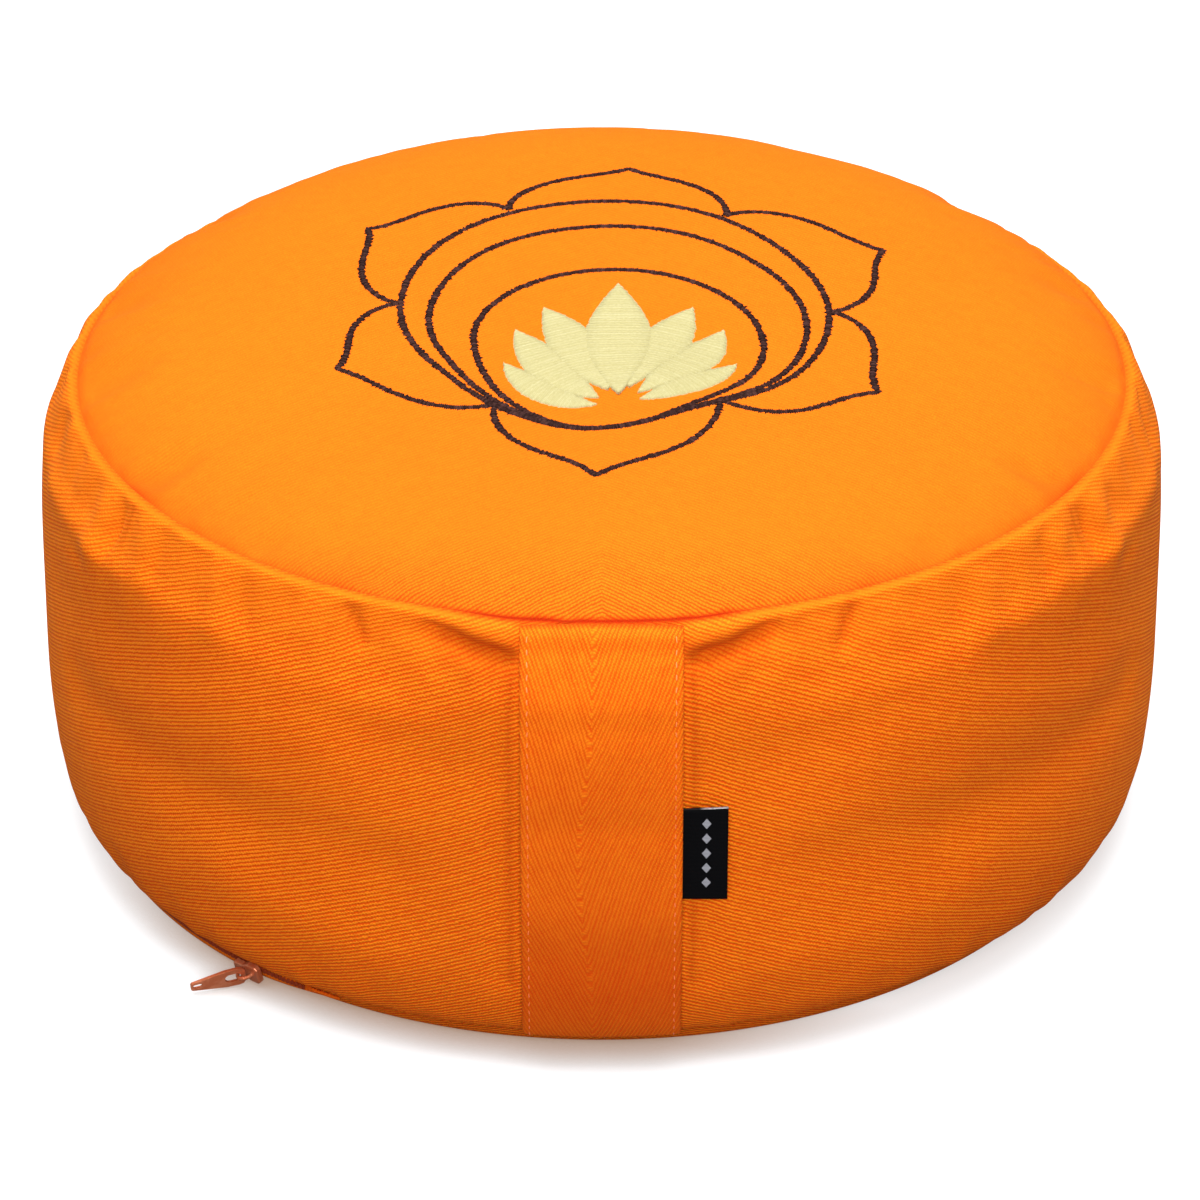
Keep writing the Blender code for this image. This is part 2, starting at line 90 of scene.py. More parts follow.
# Folds that the left and the right of the wall both have. A negative depth stands out.
FRONT_FOLDS = (
    # azimuth 1, height 1, azimuth 2, height 2, half width, depth
    (17, 0.1332, 8.6, 0.1284, 0.003, 0.0038),
    (14.5, 0.1285, 8.6, 0.1235, 0.0062, 0.0014),
    (20, 0.1335, 13.5, 0.12, 0.0038, 0.0007),
    (12.8, 0.1215, 11, 0.1175, 0.0048, -0.0004),
    (10.2, 0.126, 10.2, 0.03, 0.004, 0.001),
    (26, 0.1385, 24.6, 0.1265, 0.0025, 0.0022),
    (30, 0.131, 28.5, 0.121, 0.006, -0.001),
    (39, 0.1385, 38.4, 0.1265, 0.0036, 0.0009),
    (41.6, 0.129, 41, 0.1215, 0.0055, -0.0016),
    (36, 0.077, 20, 0.075, 0.01, -0.0009),
    (50.6, 0.1385, 51.2, 0.1245, 0.0024, 0.0013),
    (53.2, 0.13, 52.8, 0.124, 0.005, -0.0014),
    (58.4, 0.1385, 59.2, 0.1225, 0.0025, 0.0027),
    (61.4, 0.129, 61.8, 0.1215, 0.006, -0.0022),
    (71.5, 0.1385, 71, 0.128, 0.004, 0.0005),
    (76, 0.1195, 55, 0.119, 0.0055, -0.001),
    (72, 0.093, 50, 0.096, 0.014, 0.0014),
    (56, 0.104, 44, 0.101, 0.01, 0.0008),
    (24, 0.102, 12, 0.096, 0.01, 0.001),
    (66, 0.069, 36.5, 0.063, 0.011, 0.002),
    (32, 0.07, 22, 0.063, 0.01, 0.0008),
    (47, 0.096, 27, 0.094, 0.015, -0.0017),
    (40, 0.04, 20, 0.029, 0.011, -0.0012),
    (88, 0.095, 84, 0.055, 0.03, -0.0006),
)
BACK_FOLDS = (
    # the same columns
    (-82, 0.1385, -80, 0.126, 0.004, 0.0009),
    (84, 0.1385, 82, 0.125, 0.004, 0.0008),
    (-101, 0.1385, -97, 0.122, 0.004, 0.0034),
    (105, 0.1385, 103, 0.12, 0.004, 0.003),
    (-126, 0.1385, -123, 0.124, 0.0038, 0.003),
    (131, 0.1385, 126, 0.121, 0.0042, 0.0034),
    (-151, 0.1385, -149, 0.123, 0.0042, 0.0028),
    (157, 0.1385, 153, 0.122, 0.0038, 0.003),
    (-128, 0.106, -98, 0.109, 0.011, 0.002),
    (134, 0.103, 104, 0.108, 0.011, 0.002),
    (-176, 0.078, -140, 0.07, 0.012, 0.0016),
    (172, 0.082, 138, 0.09, 0.012, 0.0016),
)

# Above its knee the wall runs straight to the seam instead of swelling.
SHOULDER_ROWS = (
    # azimuth, height of the knee, share of the swell above it that is drawn flat
    (13, 0.105, 0),
    (20, 0.105, 0.95),
    (27, 0.108, 1),
    (33, 0.11, 1),
    (40, 0.114, 1),
    (47, 0.115, 0.84),
    (56, 0.116, 0.88),
    (62, 0.118, 1),
    (78, 0.118, 1),
    (100, 0.118, 0.5),
    (180, 0.118, 0.25),
)

# Hollows of the top panel at its seam, again first those that both sides have.
FRONT_HOLLOWS = (
    # azimuth, radius at the inner end, half width, depth
    (58.5, 0.14, 0.0055, 0.002),
    (39, 0.146, 0.0045, 0.001),
    (25.5, 0.146, 0.0045, 0.001),
    (82, 0.142, 0.008, 0.0018),
)
BACK_HOLLOWS = (
    (-101, 0.142, 0.007, 0.0018),
    (105, 0.142, 0.007, 0.0018),
    (-126, 0.143, 0.007, 0.0016),
    (131, 0.143, 0.007, 0.0016),
)

# Small puckers that the stitches leave beside each seam.
PUCKER_HEIGHT = 0.0002
PUCKER_REACH = 0.0075
PUCKER_WAVES = (37, 53, 71, 96)

# Blender's cloth fills a coarse copy of the cushion, and the visible cloth takes its small folds.
FILL_STEP_AROUND = 4
FILL_STEP_UP = 3
FILL_BASE_ROWS = (0, 2, 3, 6)
FILL_FRAMES = 20
FILL_CLOTH = {
    "quality": 5,
    "tension_stiffness": 15,
    "compression_stiffness": 15,
    "shear_stiffness": 5,
    "bending_stiffness": 0.5,
    "use_pressure": True,
    "uniform_pressure_force": 4,
    "shrink_min": -0.02,
    "vertex_group_mass": "held",
}
FILL_CAP_FRONT = 0.0004
FILL_CAP_BACK = 0.001
FILL_CAP_TOP = 0.0003
FILL_CAP_GROWS = (60, 100)  # azimuths between which the front's cap turns into the back's
FILL_FREE_OF_STRAP = (13.5, 18.5)  # azimuths where it starts to show and shows in full
CROWN_HELD_RADIUS = 0.115  # the top panel keeps its form inside it

# ------- the twill
RIB_PITCH = 0.00116
RIB_STRENGTH = 1.62
RIB_LOSS_AT_SIDE = 0.72
RIB_LOSS_AT_TOP = 0.42
WALL_RIB_ANGLE = math.radians(23)  # rise towards the strap
TOP_RIB_ANGLE = math.radians(32.5)
STRAP_RIB_PITCH = 0.00108
STRAP_RIB_ANGLE = math.radians(70)
STRAP_CHEVRON_X = -0.0022
STRAP_CHEVRON_DRIFT = 0.0042
STRAP_CHEVRON_BEND = (0.47, 0.24)  # middle and half width, as shares of the way up

# Pairs of colours: a rib's crest and its valley (painted shade), a floss and its painted gleam, a thread
# higher and lower on the strap.
CLOTH_COLOURS = ((0.99, 0.254, 0.0085), (0.75, 0.074, 0.002))
STRAP_COLOURS = ((0.98, 0.238, 0.0078), (0.76, 0.078, 0.0022))
PLUM = ((0.008, 0.0022, 0.0016), (0.082, 0.033, 0.028))
PALE_YELLOW = ((0.41, 0.355, 0.145), (0.6, 0.56, 0.315))
PALE_THREAD = ((0.95, 0.285, 0.058), (0.92, 0.155, 0.01))

# Shade painted into the cloth: shares of DEEP_ORANGE.
DEEP_ORANGE = (0.42, 0.019, 0.0006)
GROOVE_SHADE = 0.24
GROOVE_SHADE_AT_STRAP = 0.72
LIP_SHADE = 0.12
FOOT_SHADE = 0.14
FOOT_FOLD_SHADE = 0.12
CROWN_SHADE = 0.18
CROWN_EDGE_SHADE = 0.17
CORNER_SHADE = 0.09
CREASE_SHADES = (
    # azimuth 1, height 1, azimuth 2, height 2, half width, share of shade
    (15.5, 0.133, 8.6, 0.1312, 0.0028, 0.38),
    (17.5, 0.1335, 12.6, 0.1225, 0.0026, 0.12),
    (12, 0.129, 8.6, 0.1275, 0.0058, 0.24),
    (8.8, 0.124, 8.8, 0.03, 0.0012, 0.3),
    (26, 0.136, 24.6, 0.129, 0.0014, 0.28),
    (56.8, 0.1365, 57.2, 0.1245, 0.001, 0.3),
)
CROWN_SHADES = (
    # azimuth, half width in degrees, share of shade: where the top panel sinks beside its seam
    (28, 4.5, 0.12),
    (58.5, 3.4, 0.26),
)

# ------- the embroidery
EMBLEM_CENTRE = (0.0039, 0.0003)
PETAL_ROWS = (
    # from angle, tip angle, to angle, shoulder radius, tip radius
    (57.5, 86.9, 119.5, 0.0762, 0.0814),
    (119.5, 148.1, 177.8, 0.079, 0.0864),
    (177.8, 202.4, 236.5, 0.0792, 0.0858),
    (236.5, 266.4, 301, 0.079, 0.0884),
    (301, 329, 358, 0.079, 0.087),
    (358, 383.1, 417.5, 0.079, 0.0862),
)
RINGS = (
    # radius, centre to the right, centre to the back
    (0.0622, 0, -0.002),
    (0.0548, 0.0006, -0.0094),
    (0.0425, 0.0002, -0.0217),
)
DRAWN_IN = (
    # direction, half width, share: where the stitching draws the rings in, or lets them out
    (-66, 20, 0.1),
    (-143, 22, 0.055),
    (35, 26, 0.034),
    (-101, 11, -0.018),
    (138, 30, -0.03),
)
LINE_POINTS = 161
RING_POINTS = 361
STROKE_WIDTH = 0.0019
STRAND_PITCH = 0.00055
STITCH_PITCH = 0.00062

# Sections of the stitched lines and petals: share of the half width, height above the cloth.
STROKE_SECTION = ((-1, -0.0001), (-0.72, 0.00032), (0, 0.00046), (0.72, 0.00032), (1, -0.0001))
PETAL_EDGE = ((-1, -0.0003), (-0.94, 0.00036), (-0.5, 0.00052))
PETAL_SECTION = (*PETAL_EDGE, (0, 0.00056), *((-share, lift) for share, lift in PETAL_EDGE[::-1]))
FLOSS_PITCH = 0.00042

# A plain flower bud in pale floss: three pairs of pointed petals and a middle one, from one foot.
BUD_FOOT = (0.001, -0.053)
BUD_PAIRS = (
    # lean at the foot in degrees, further bend, start, length, half width, widest share, lift
    (-78, 46, 0.006, 0.036, 0.0056, 0.5, 0),
    (-50, 30, 0.007, 0.044, 0.0076, 0.52, 0.0001),
    (-20, -6, 0.0085, 0.048, 0.008, 0.52, 0.0002),
)
BUD_MIDDLE = (0, 0, 0.005, 0.06, 0.0098, 0.5, 0.0004)

# ------- strap, label and zip
STRAP_WIDTH = 0.044
STRAP_THICKNESS = 0.002
STRAP_GAP = 0.0005
STRAP_CLOSE_GAP = 0.0002
STRAP_FOOT_SHARE = 0.008
STRAP_END_SHARE = 0.9955
STRAP_PINCH = 0.6  # share of its thickness that it loses where it is sewn in
STRAP_CURL = 0.12
STRAP_CLOSE_CURL = 0.6
STRAP_ROWS = 110
STRAP_FACE_POINTS = 33
STRAP_BACK_POINTS = 13
STRAP_WAVES = (
    # share of the way up, half width as a share, depth
    (0.95, 0.018, 0.0005),
    (0.79, 0.035, 0.0004),
    (0.56, 0.04, 0.0004),
    (0.24, 0.07, 0.0005),
)
STRAP_WAVE_DEEPEST = 0.0007
STRAP_STITCH_INSET = 0.002
STRAP_STITCH_PITCH = 0.0032
STRAP_STITCH_LENGTH = 0.0015
STRAP_STITCH_RADIUS = 0.00015
STRAP_STITCH_SQUASH = 0.6
THREAD_TWIST = 0.0006
LABEL_TOP = 0.0862
LABEL_BOTTOM = 0.058
LABEL_OUTER_X = 0.0343
LABEL_TUCK = 0.001
LABEL_THICKNESS = 0.001
LABEL_GAP = 0.0003
LABEL_ROWS = 30
LABEL_COLUMNS = 16
LABEL_WEFT = 0.00042
LABEL_WARP = 0.00055
LABEL_WEAVE_WIDTH = 0.0125
DIAMOND_COUNT = 5
DIAMOND_PITCH = 0.0046
DIAMOND_START = 0.003
ZIP_START_AZIMUTH = -60
ZIP_END_AZIMUTH = -29
ZIP_RADIUS = 0.152
ZIP_HEIGHT = 0.0053
ZIP_TILT = math.radians(-16)
ZIP_WIDTH = 0.005
TAPE_THICKNESS = 0.0008
TAPE_STEPS = 140
TAPE_ROWS = 9
COIL_PITCH = 0.0007
COIL_LENGTH = 0.002
COIL_RISE = 0.0007
COIL_RADIUS = 0.00031

# ------- the floor's painted shadow
WHITE = (1, 1, 1)
FLOOR_SHADE = (0.51, 0.31, 0.2)
FLOOR_SHADE_REACH = 0.0128


# ------- small helpers
def smooth(low, high, value):
    """0 up to low, 1 from high on, and an eased rise between."""
    share = np.clip((value - low) / (high - low), 0, 1)
    return share * share * (3 - 2 * share)


def fade(low, high, value):
    return 1 - smooth(low, high, value)


def bell(distance, half_width):
    return np.exp(-((distance / half_width) ** 2))


def between(first, last, share):
    return first + (last - first) * share


def eased(count, ease):
    """0 to 1 in count steps that crowd towards both ends."""
    share = np.linspace(0, 1, count)
    return (1 - ease) * share + ease * (0.5 - 0.5 * np.cos(math.pi * share))


def mirrored(rows, turned):
    """Each row for both sides, first with the sign of some columns turned."""
    both = []
    for row in rows:
        both.append([-value if column in turned else value for column, value in enumerate(row)])
        both.append(row)
    return both


# ------- the cushion's form
def wall_height(share):
    return between(FOOT_HEIGHT, SEAM_HEIGHT, share)


def wall_radius(height):
    share = (height - FOOT_HEIGHT) / (SEAM_HEIGHT - FOOT_HEIGHT)
    share = np.clip(share, 0, 1)
    swell = (1 - np.abs(2 * share - 1) ** WALL_FLATNESS) ** WALL_SHOULDER
    return between(FOOT_RADIUS, SEAM_RADIUS, share) + WALL_BULGE * swell


def crown_rise(x, y):
    share = np.minimum(np.hypot(x, y) / SEAM_RADIUS, 1)
    dome = CROWN_HEIGHT * (1 - share**CROWN_FLATNESS)
    lean = CROWN_LEAN * y * (1 - share**CROWN_LEAN_FLATNESS)
    return dome + lean


def around_wall(azimuth):
    return np.radians(np.abs(azimuth)) * WALL_WIDEST


def strap_bed(height):
    return STRAP_BED * smooth(STRAP_BED_LOW, STRAP_BED_HIGH, height)


def beside_strap(azimuth):
    """0 under the strap and 1 beside it."""
    return smooth(0.5 * STRAP_WIDTH, 0.64 * STRAP_WIDTH, around_wall(azimuth))


def above_strap(x, y, widths):
    """1 in line with the strap, 0 beyond so many of its widths from the middle."""
    return fade(0.5 * STRAP_WIDTH, widths * STRAP_WIDTH, np.abs(x)) * (y < 0)


def seam_dip(x, y, from_seam):
    return SEAM_DIP * above_strap(x, y, 1) * bell(from_seam, SEAM_DIP_REACH)


def shoulder_press(azimuth, height):
    """How far the wall is drawn in above its knee."""
    places, knees, shares = zip(*SHOULDER_ROWS)
    knee = np.interp(np.abs(azimuth), places, knees)
    share = np.clip((height - knee) / (SEAM_HEIGHT - knee), 0, 1)
    straight = between(wall_radius(knee), SEAM_RADIUS, share)
    flattened = np.interp(np.abs(azimuth), places, shares) * smooth(0, 0.42, share)
    return flattened * (wall_radius(height) - straight)


def on_line(azimuth, height, azimuth_1, height_1, azimuth_2, height_2, half_width):
    """1 on the line between two places of the wall, less beside it."""
    start = azimuth_1 * WALL_DEGREE
    run, rise = azimuth_2 * WALL_DEGREE - start, height_2 - height_1
    off, off_up = azimuth * WALL_DEGREE - start, height - height_1
    share = np.clip((off * run + off_up * rise) / (run**2 + rise**2), 0, 1)
    return bell(np.hypot(off - share * run, off_up - share * rise), half_width)


def wall_press(azimuth, height):
    """How far the folds press the wall in."""
    pressed = 0 * (azimuth + height)
    for *line, half_width, depth in mirrored(FRONT_FOLDS, (0, 2)) + list(BACK_FOLDS):
        fold = depth * on_line(azimuth, height, *line, half_width)
        if line[1] == SEAM_HEIGHT:
            fold = fold * smooth(0, 0.7, (SEAM_HEIGHT - height) / (SEAM_HEIGHT - line[3]))
        pressed += fold
    return pressed * beside_strap(azimuth)


def crease_shade(azimuth, height):
    return sum(share * on_line(np.abs(azimuth), height, *line) for *line, share in CREASE_SHADES)


def crown_press(azimuth, radius):
    """How far the hollows press the top panel down."""
    pressed = 0 * (azimuth + radius)
    for place, inner_radius, half_width, depth in mirrored(FRONT_HOLLOWS, (0,)) + list(BACK_HOLLOWS):
        around = np.radians(azimuth - place) * radius
        distance = np.hypot(around, np.maximum(inner_radius - radius, 0))
        pressed = pressed + depth * bell(distance, half_width)
    return pressed


def crown_height(x, y):
    """Height of the finished top at a place, away from its seam."""
    azimuth = np.degrees(np.arctan2(x, -y))
    return SEAM_HEIGHT + crown_rise(x, y) - crown_press(azimuth, np.hypot(x, y))


# ------- materials
class Nodes:
    """Adds shader nodes to a new material. A tuple stands for a colour."""

    def __init__(self, name):
        self.material = bpy.data.materials.new(name)
        self.material.use_nodes = True
        self.tree = self.material.node_tree
        self.shader = self.tree.nodes["Principled BSDF"]

    def feed(self, socket, value):
        if isinstance(value, bpy.types.NodeSocket):
            self.tree.links.new(value, socket)
        else:
            socket.default_value = (*value, 1) if isinstance(value, tuple) else value

    def set(self, **sockets):
        """Sets inputs of the shader and gives the material."""
        for key, value in sockets.items():
            self.feed(self.shader.inputs[key.replace("_", " ")], value)
        return self.material

    def add(self, kind, output, inputs, **settings):
        """One output of a new node."""
        node = self.tree.nodes.new("ShaderNode" + kind)
        for key, value in settings.items():
            setattr(node, key, value)
        for key, value in inputs.items():
            self.feed(node.inputs[key], value)
        return node.outputs[output]

    def math(self, operation, *values):
        return self.add("Math", 0, dict(enumerate(values)), operation=operation)

    def times(self, first, second):
        return self.math("MULTIPLY", first, second)

    def whole(self, value, pitch):
        """How many whole pitches a value holds."""
        return self.math("FLOOR", self.math("DIVIDE", value, pitch))

    def shifted(self, base, value, amount, middle=0.5):
        """base, moved up or down as value lies above or below its middle."""
        return self.math("MULTIPLY_ADD", self.math("SUBTRACT", value, middle), amount, base)

    def wave(self, value, pitch, shift=None):
        """0 to 1 and back once for each pitch."""
        turns = self.times(value, math.tau / pitch)
        if shift is not None:
            turns = self.math("ADD", turns, shift)
        return self.math("MULTIPLY_ADD", self.math("COSINE", turns), 0.5, 0.5)

    def mix(self, share, first, second):
        return self.add("Mix", "Result", {"Factor": share, "A": first, "B": second}, data_type="RGBA")

    def remap(self, value, low, high, new_low, new_high):
        inputs = {"Value": value, "From Min": low, "From Max": high, "To Min": new_low, "To Max": new_high}
        return self.add("MapRange", "Result", inputs)

    def noise(self, vector, scale, detail=2, roughness=0.5):
        inputs = {"Vector": vector, "Scale": scale, "Detail": detail, "Roughness": roughness}
        return self.add("TexNoise", "Fac", inputs)

    def random(self, number):
        return self.add("TexWhiteNoise", "Value", {"W": number}, noise_dimensions="1D")

    def bump(self, height, strength, distance):
        return self.add("Bump", "Normal", {"Height": height, "Strength": strength, "Distance": distance})

    def position(self):
        return self.add("NewGeometry", "Position", {})

    def attribute(self, name):
        return self.add("Attribute", "Fac", {}, attribute_name=name)

    def axis(self, vector, name):
        return self.add("SeparateXYZ", name, {"Vector": vector})

    def weave(self, axis):
        """The cloth's own map, in metres: X across its ribs or Y along them."""
        return self.axis(self.add("UVMap", "UV", {}, uv_map="weave"), axis)


def twill_material(name, ridge, valley, pitch, relief, yarn_pitch, broken):
    """Cotton twill, from its weave map; broken is how much its yarns break up each rib."""
    n = Nodes(name)
    place = n.add("TexCoord", "Object", {})
    strength = n.attribute("weave_strength")

    # The ribs wander a little, as soft cloth does.
    across = n.shifted(n.weave("X"), n.noise(place, 45, 1), 0.5 * pitch)
    across = n.shifted(across, n.noise(place, 950, 1), 0.55 * pitch)
    rib = n.whole(across, pitch)
    yarn = n.wave(n.weave("Y"), yarn_pitch, n.times(rib, 2.1))

    # Each rib is a row of short floats: bright on its crest, deep between the rows, where the deeper colour
    # is painted shade.
    crest = n.math("POWER", n.wave(across, pitch), 0.85)
    crest = n.times(crest, n.math("MULTIPLY_ADD", yarn, broken, 1 - broken))
    fuzz = n.noise(place, 2000, 3, 0.65)
    mottle = n.noise(place, 260, 3, 0.6)
    shown = n.shifted(0.6, crest, n.times(strength, 1.12), 0.47)
    shown = n.shifted(shown, fuzz, 0.7)
    shown = n.shifted(shown, mottle, n.math("MULTIPLY_ADD", strength, 0.22, 0.16))
    shown = n.shifted(shown, n.random(rib), n.times(strength, 0.14))
    shown = n.math("MAXIMUM", n.math("MINIMUM", shown, 1.15), 0)
    # The seam_shade attribute mixes in DEEP_ORANGE: shade painted into the cloth.
    colour = n.mix(n.attribute("seam_shade"), n.mix(shown, valley, ridge), DEEP_ORANGE)

    # Large soft patches are a little lighter or darker.
    patches = n.remap(n.noise(place, 9, 3), 0.3, 0.7, 0.96, 1.03)
    colour = n.add("HueSaturation", "Color", {"Color": colour, "Value": patches})
    height = n.math("MULTIPLY_ADD", fuzz, 0.3, n.times(crest, strength))
    n.set(Base_Color=colour, Normal=n.bump(height, 1, relief), Roughness=0.9, Specular_IOR_Level=0.06)
    return n.set(Sheen_Weight=0.07, Sheen_Roughness=0.45, Sheen_Tint=(1, 0.5, 0.06))


def satin_material(name, colour, light, sheen, streaks):
    """Embroidery floss: fine parallel threads across each stitch, with a silky gleam painted along each
    thread and on some strands.
    """
    n = Nodes(name)
    place = n.position()
    across = n.weave("X")
    thread = n.wave(n.shifted(across, n.noise(place, 900), 0.9 * FLOSS_PITCH), FLOSS_PITCH)
    speck = n.remap(n.noise(place, 1300, roughness=0.7), 0.3, 0.7, 0.35, 1)
    streak = n.times(n.math("POWER", n.random(n.whole(across, STRAND_PITCH)), 3), streaks)
    share = n.math("MULTIPLY_ADD", n.times(thread, speck), 1 - 0.5 * streaks, streak)
    n.set(Base_Color=n.mix(share, colour, light), Roughness=n.remap(thread, 0, 1, 0.62, 0.42))
    n.set(Normal=n.bump(thread, 0.8, 0.00012), Specular_IOR_Level=0.05)
    return n.set(Sheen_Weight=sheen, Sheen_Roughness=0.35)


def label_material():
    """Black damask tape with a plain row of woven diamonds: tight ribs with a fine cross thread."""
    n = Nodes("black woven tape")
    across, up = n.weave("X"), n.weave("Y")
    warp = n.wave(across, LABEL_WARP, n.times(n.whole(up, LABEL_WEFT), math.pi))
    cloth = n.times(n.wave(up, LABEL_WEFT), n.math("MULTIPLY_ADD", warp, 0.5, 0.5))
    black = n.mix(cloth, (0.0015, 0.0015, 0.002), (0.005, 0.005, 0.006))
    grey = n.mix(cloth, (0.2, 0.2, 0.23), (0.46, 0.47, 0.52))
    n.set(Base_Color=n.mix(diamonds(n, across, up), black, grey))
    return n.set(Roughness=0.7, Normal=n.bump(cloth, 0.7, 0.0001), Specular_IOR_Level=0.03)


def diamonds(n, across, up):
    """1 inside a row of small diamonds up the middle of the label, 0 elsewhere."""
    half_height, half_width, middle = 0.0016, 0.0012, 0.007
    half_row = 0.5 * DIAMOND_COUNT * DIAMOND_PITCH

    def off(value, centre):
        return n.math("ABSOLUTE", n.math("SUBTRACT", value, centre))

    turn = n.math("FRACT", n.math("DIVIDE", n.math("SUBTRACT", up, DIAMOND_START), DIAMOND_PITCH))
    off_up = n.times(off(turn, 0.5), DIAMOND_PITCH / half_height)
    off_across = n.math("DIVIDE", off(across, middle), half_width)
    inside = n.math("LESS_THAN", n.math("ADD", off_up, off_across), 1)
    return n.times(inside, n.math("LESS_THAN", off(up, DIAMOND_START + half_row), half_row))


def thread_material(name, colour, low_colour):
    """Sewing thread, paler high on the strap and deeper orange lower down, with a painted glint."""
    n = Nodes(name)
    place = n.position()
    higher_share = n.remap(n.axis(place, "Z"), 0.1, 0.13, 0, 1)
    glint = n.times(n.noise(place, 2200), 0.11)
    n.set(Base_Color=n.mix(glint, n.mix(higher_share, low_colour, colour), (1, 0.55, 0.2)))
    n.set(Normal=n.bump(n.noise(place, 1 / THREAD_TWIST), 0.4, 0.0001))
    return n.set(Roughness=0.6, Sheen_Weight=0.2)


def fold_material():
    """The label's cut fold, where its pale threads turn over."""
    n = Nodes("grey fold")
    place = n.position()
    outer = n.remap(n.axis(place, "X"), 0.0265, 0.0285, 0, 1)
    threads = n.times(outer, n.noise(place, 1500))
    n.set(Base_Color=n.mix(threads, (0.012, 0.012, 0.014), (0.66, 0.68, 0.74)))
    return n.set(Roughness=0.7, Normal=n.bump(threads, 0.4, 0.0001), Specular_IOR_Level=0.1)


def lacquer_material():
    """Copper-coloured lacquer on cast metal, rubbed paler in patches."""
    n = Nodes("copper lacquer")
    place = n.position()
    rubbed = n.remap(n.noise(place, 260, 3), 0.45, 0.65, 0, 0.55)
    scratches = n.noise(place, 1800, roughness=0.7)
    n.set(Base_Color=n.mix(rubbed, (0.58, 0.15, 0.055), (0.8, 0.34, 0.18)), Metallic=0.55)
    n.set(Roughness=n.remap(scratches, 0.3, 0.7, 0.28, 0.5), Normal=n.bump(scratches, 0.25, 0.0001))
    return n.set(Coat_Weight=0.3, Coat_Roughness=0.25)


def nylon_material():
    n = Nodes("red-brown nylon")
    speck = n.noise(n.position(), 900)
    n.set(Base_Color=n.mix(speck, (0.17, 0.016, 0.005), (0.36, 0.055, 0.014)))
    return n.set(Roughness=0.5, Specular_IOR_Level=0.12)


# ------- meshes
def new_object(name, data):
    obj = bpy.data.objects.new(name, data)
    bpy.context.scene.collection.objects.link(obj)
    return obj


def mesh_object(name, points, faces, uvs=None, materials=()):
    """A smooth object from lists; uvs has one pair for each corner of each face, in order."""
    mesh = bpy.data.meshes.new(name)
    mesh.from_pydata([tuple(p) for p in points], [], [tuple(f) for f in faces])
    if uvs is not None:
        layer = mesh.uv_layers.new(name="weave")
        layer.data.foreach_set("uv", np.asarray(uvs, np.float32).ravel())
    for material in materials:
        mesh.materials.append(material)
    mesh.polygons.foreach_set("use_smooth", [True] * len(faces))
    mesh.update()
    return new_object(name, mesh)


def paint(obj, strength, shade):
    """Writes how far the ribs stand out, and the shade painted into the cloth, at each point."""
    for name, values in (("weave_strength", strength), ("seam_shade", shade)):
        attribute = obj.data.attributes.new(name, "FLOAT", "POINT")
        attribute.data.foreach_set("value", np.asarray(values, np.float32))


def recalculate(obj):
    """Turns every face outward."""
    bm = bmesh.new()
    bm.from_mesh(obj.data)
    bmesh.ops.recalc_face_normals(bm, faces=bm.faces)
    bm.to_mesh(obj.data)
    bm.free()


def grid_faces(rows, columns):
    """Quads between rings of points that follow one another in a list."""
    faces = []
    for row in range(rows - 1):
        for column in range(columns):
            here = row * columns + column
            right = row * columns + (column + 1) % columns
            faces.append((here, right, right + columns, here + columns))
    return faces


def closing_faces(rows, columns):
    """Triangles from the first and last ring to their middle points, which follow the rings."""
    faces = []
    low = rows * columns
    top_ring = low - columns
    for column in range(columns):
        right = (column + 1) % columns
        faces.append((right, column, low))
        faces.append((top_ring + column, top_ring + right, low + 1))
    return faces


def closed_band(name, rings, points, weave, materials):
    """A body from rings of points, capped at both ends; weave is each point's place in the map."""
    columns = len(points) // rings
    faces = grid_faces(rings, columns)
    uvs = [weave[spot] for face in faces for spot in face] + [(0, 0)] * (2 * columns)
    faces += [tuple(range(columns))[::-1], tuple(range(len(points) - columns, len(points)))]
    obj = mesh_object(name, points, faces, uvs, materials)
    recalculate(obj)
    return obj


def ribs(sideways, up, angle):
    """The weave map, (across, along), of ribs at an angle to both sides of a middle line."""
    across = up * math.cos(angle) + sideways * math.sin(angle)
    along = sideways * math.cos(angle) - up * math.sin(angle)
    return np.stack([across, along], axis=-1)


def to_xyz(radius, azimuth, height):
    angle = np.radians(azimuth)
    return np.stack([radius * np.sin(angle), -radius * np.cos(angle), height + 0 * angle], axis=-1)


# ------- the filled cushion
def puckers(azimuth, distance):
    """Stitch puckers beside a seam, at a distance from it along the cloth."""
    angle = np.radians(azimuth)
    ripple = 0 * angle
    for turn, waves in enumerate(PUCKER_WAVES):
        ripple += np.sin(angle * waves + 1.7 * turn + 0.8 * np.sin(angle * (3 + turn)))
    return PUCKER_HEIGHT * ripple * np.exp(-distance / PUCKER_REACH) * smooth(0, 0.0015, distance)


def base_rows():
    """Radius and height of the rings from the middle of the base out to its seam."""
    edge = BASE_RADII[-1]
    outs, ups = zip((0, 0), *BASE_ROUND, (FOOT_RADIUS - FOOT_SEAM_DEPTH - edge, FOOT_HEIGHT))
    spots = np.linspace(0, len(outs) - 1, BASE_ROWS)[1:-1]
    radius = np.append(BASE_RADII, edge + np.interp(spots, range(len(outs)), outs))
    height = np.append(np.zeros(len(BASE_RADII)), np.interp(spots, range(len(ups)), ups))
    return radius[:, None], height[:, None]


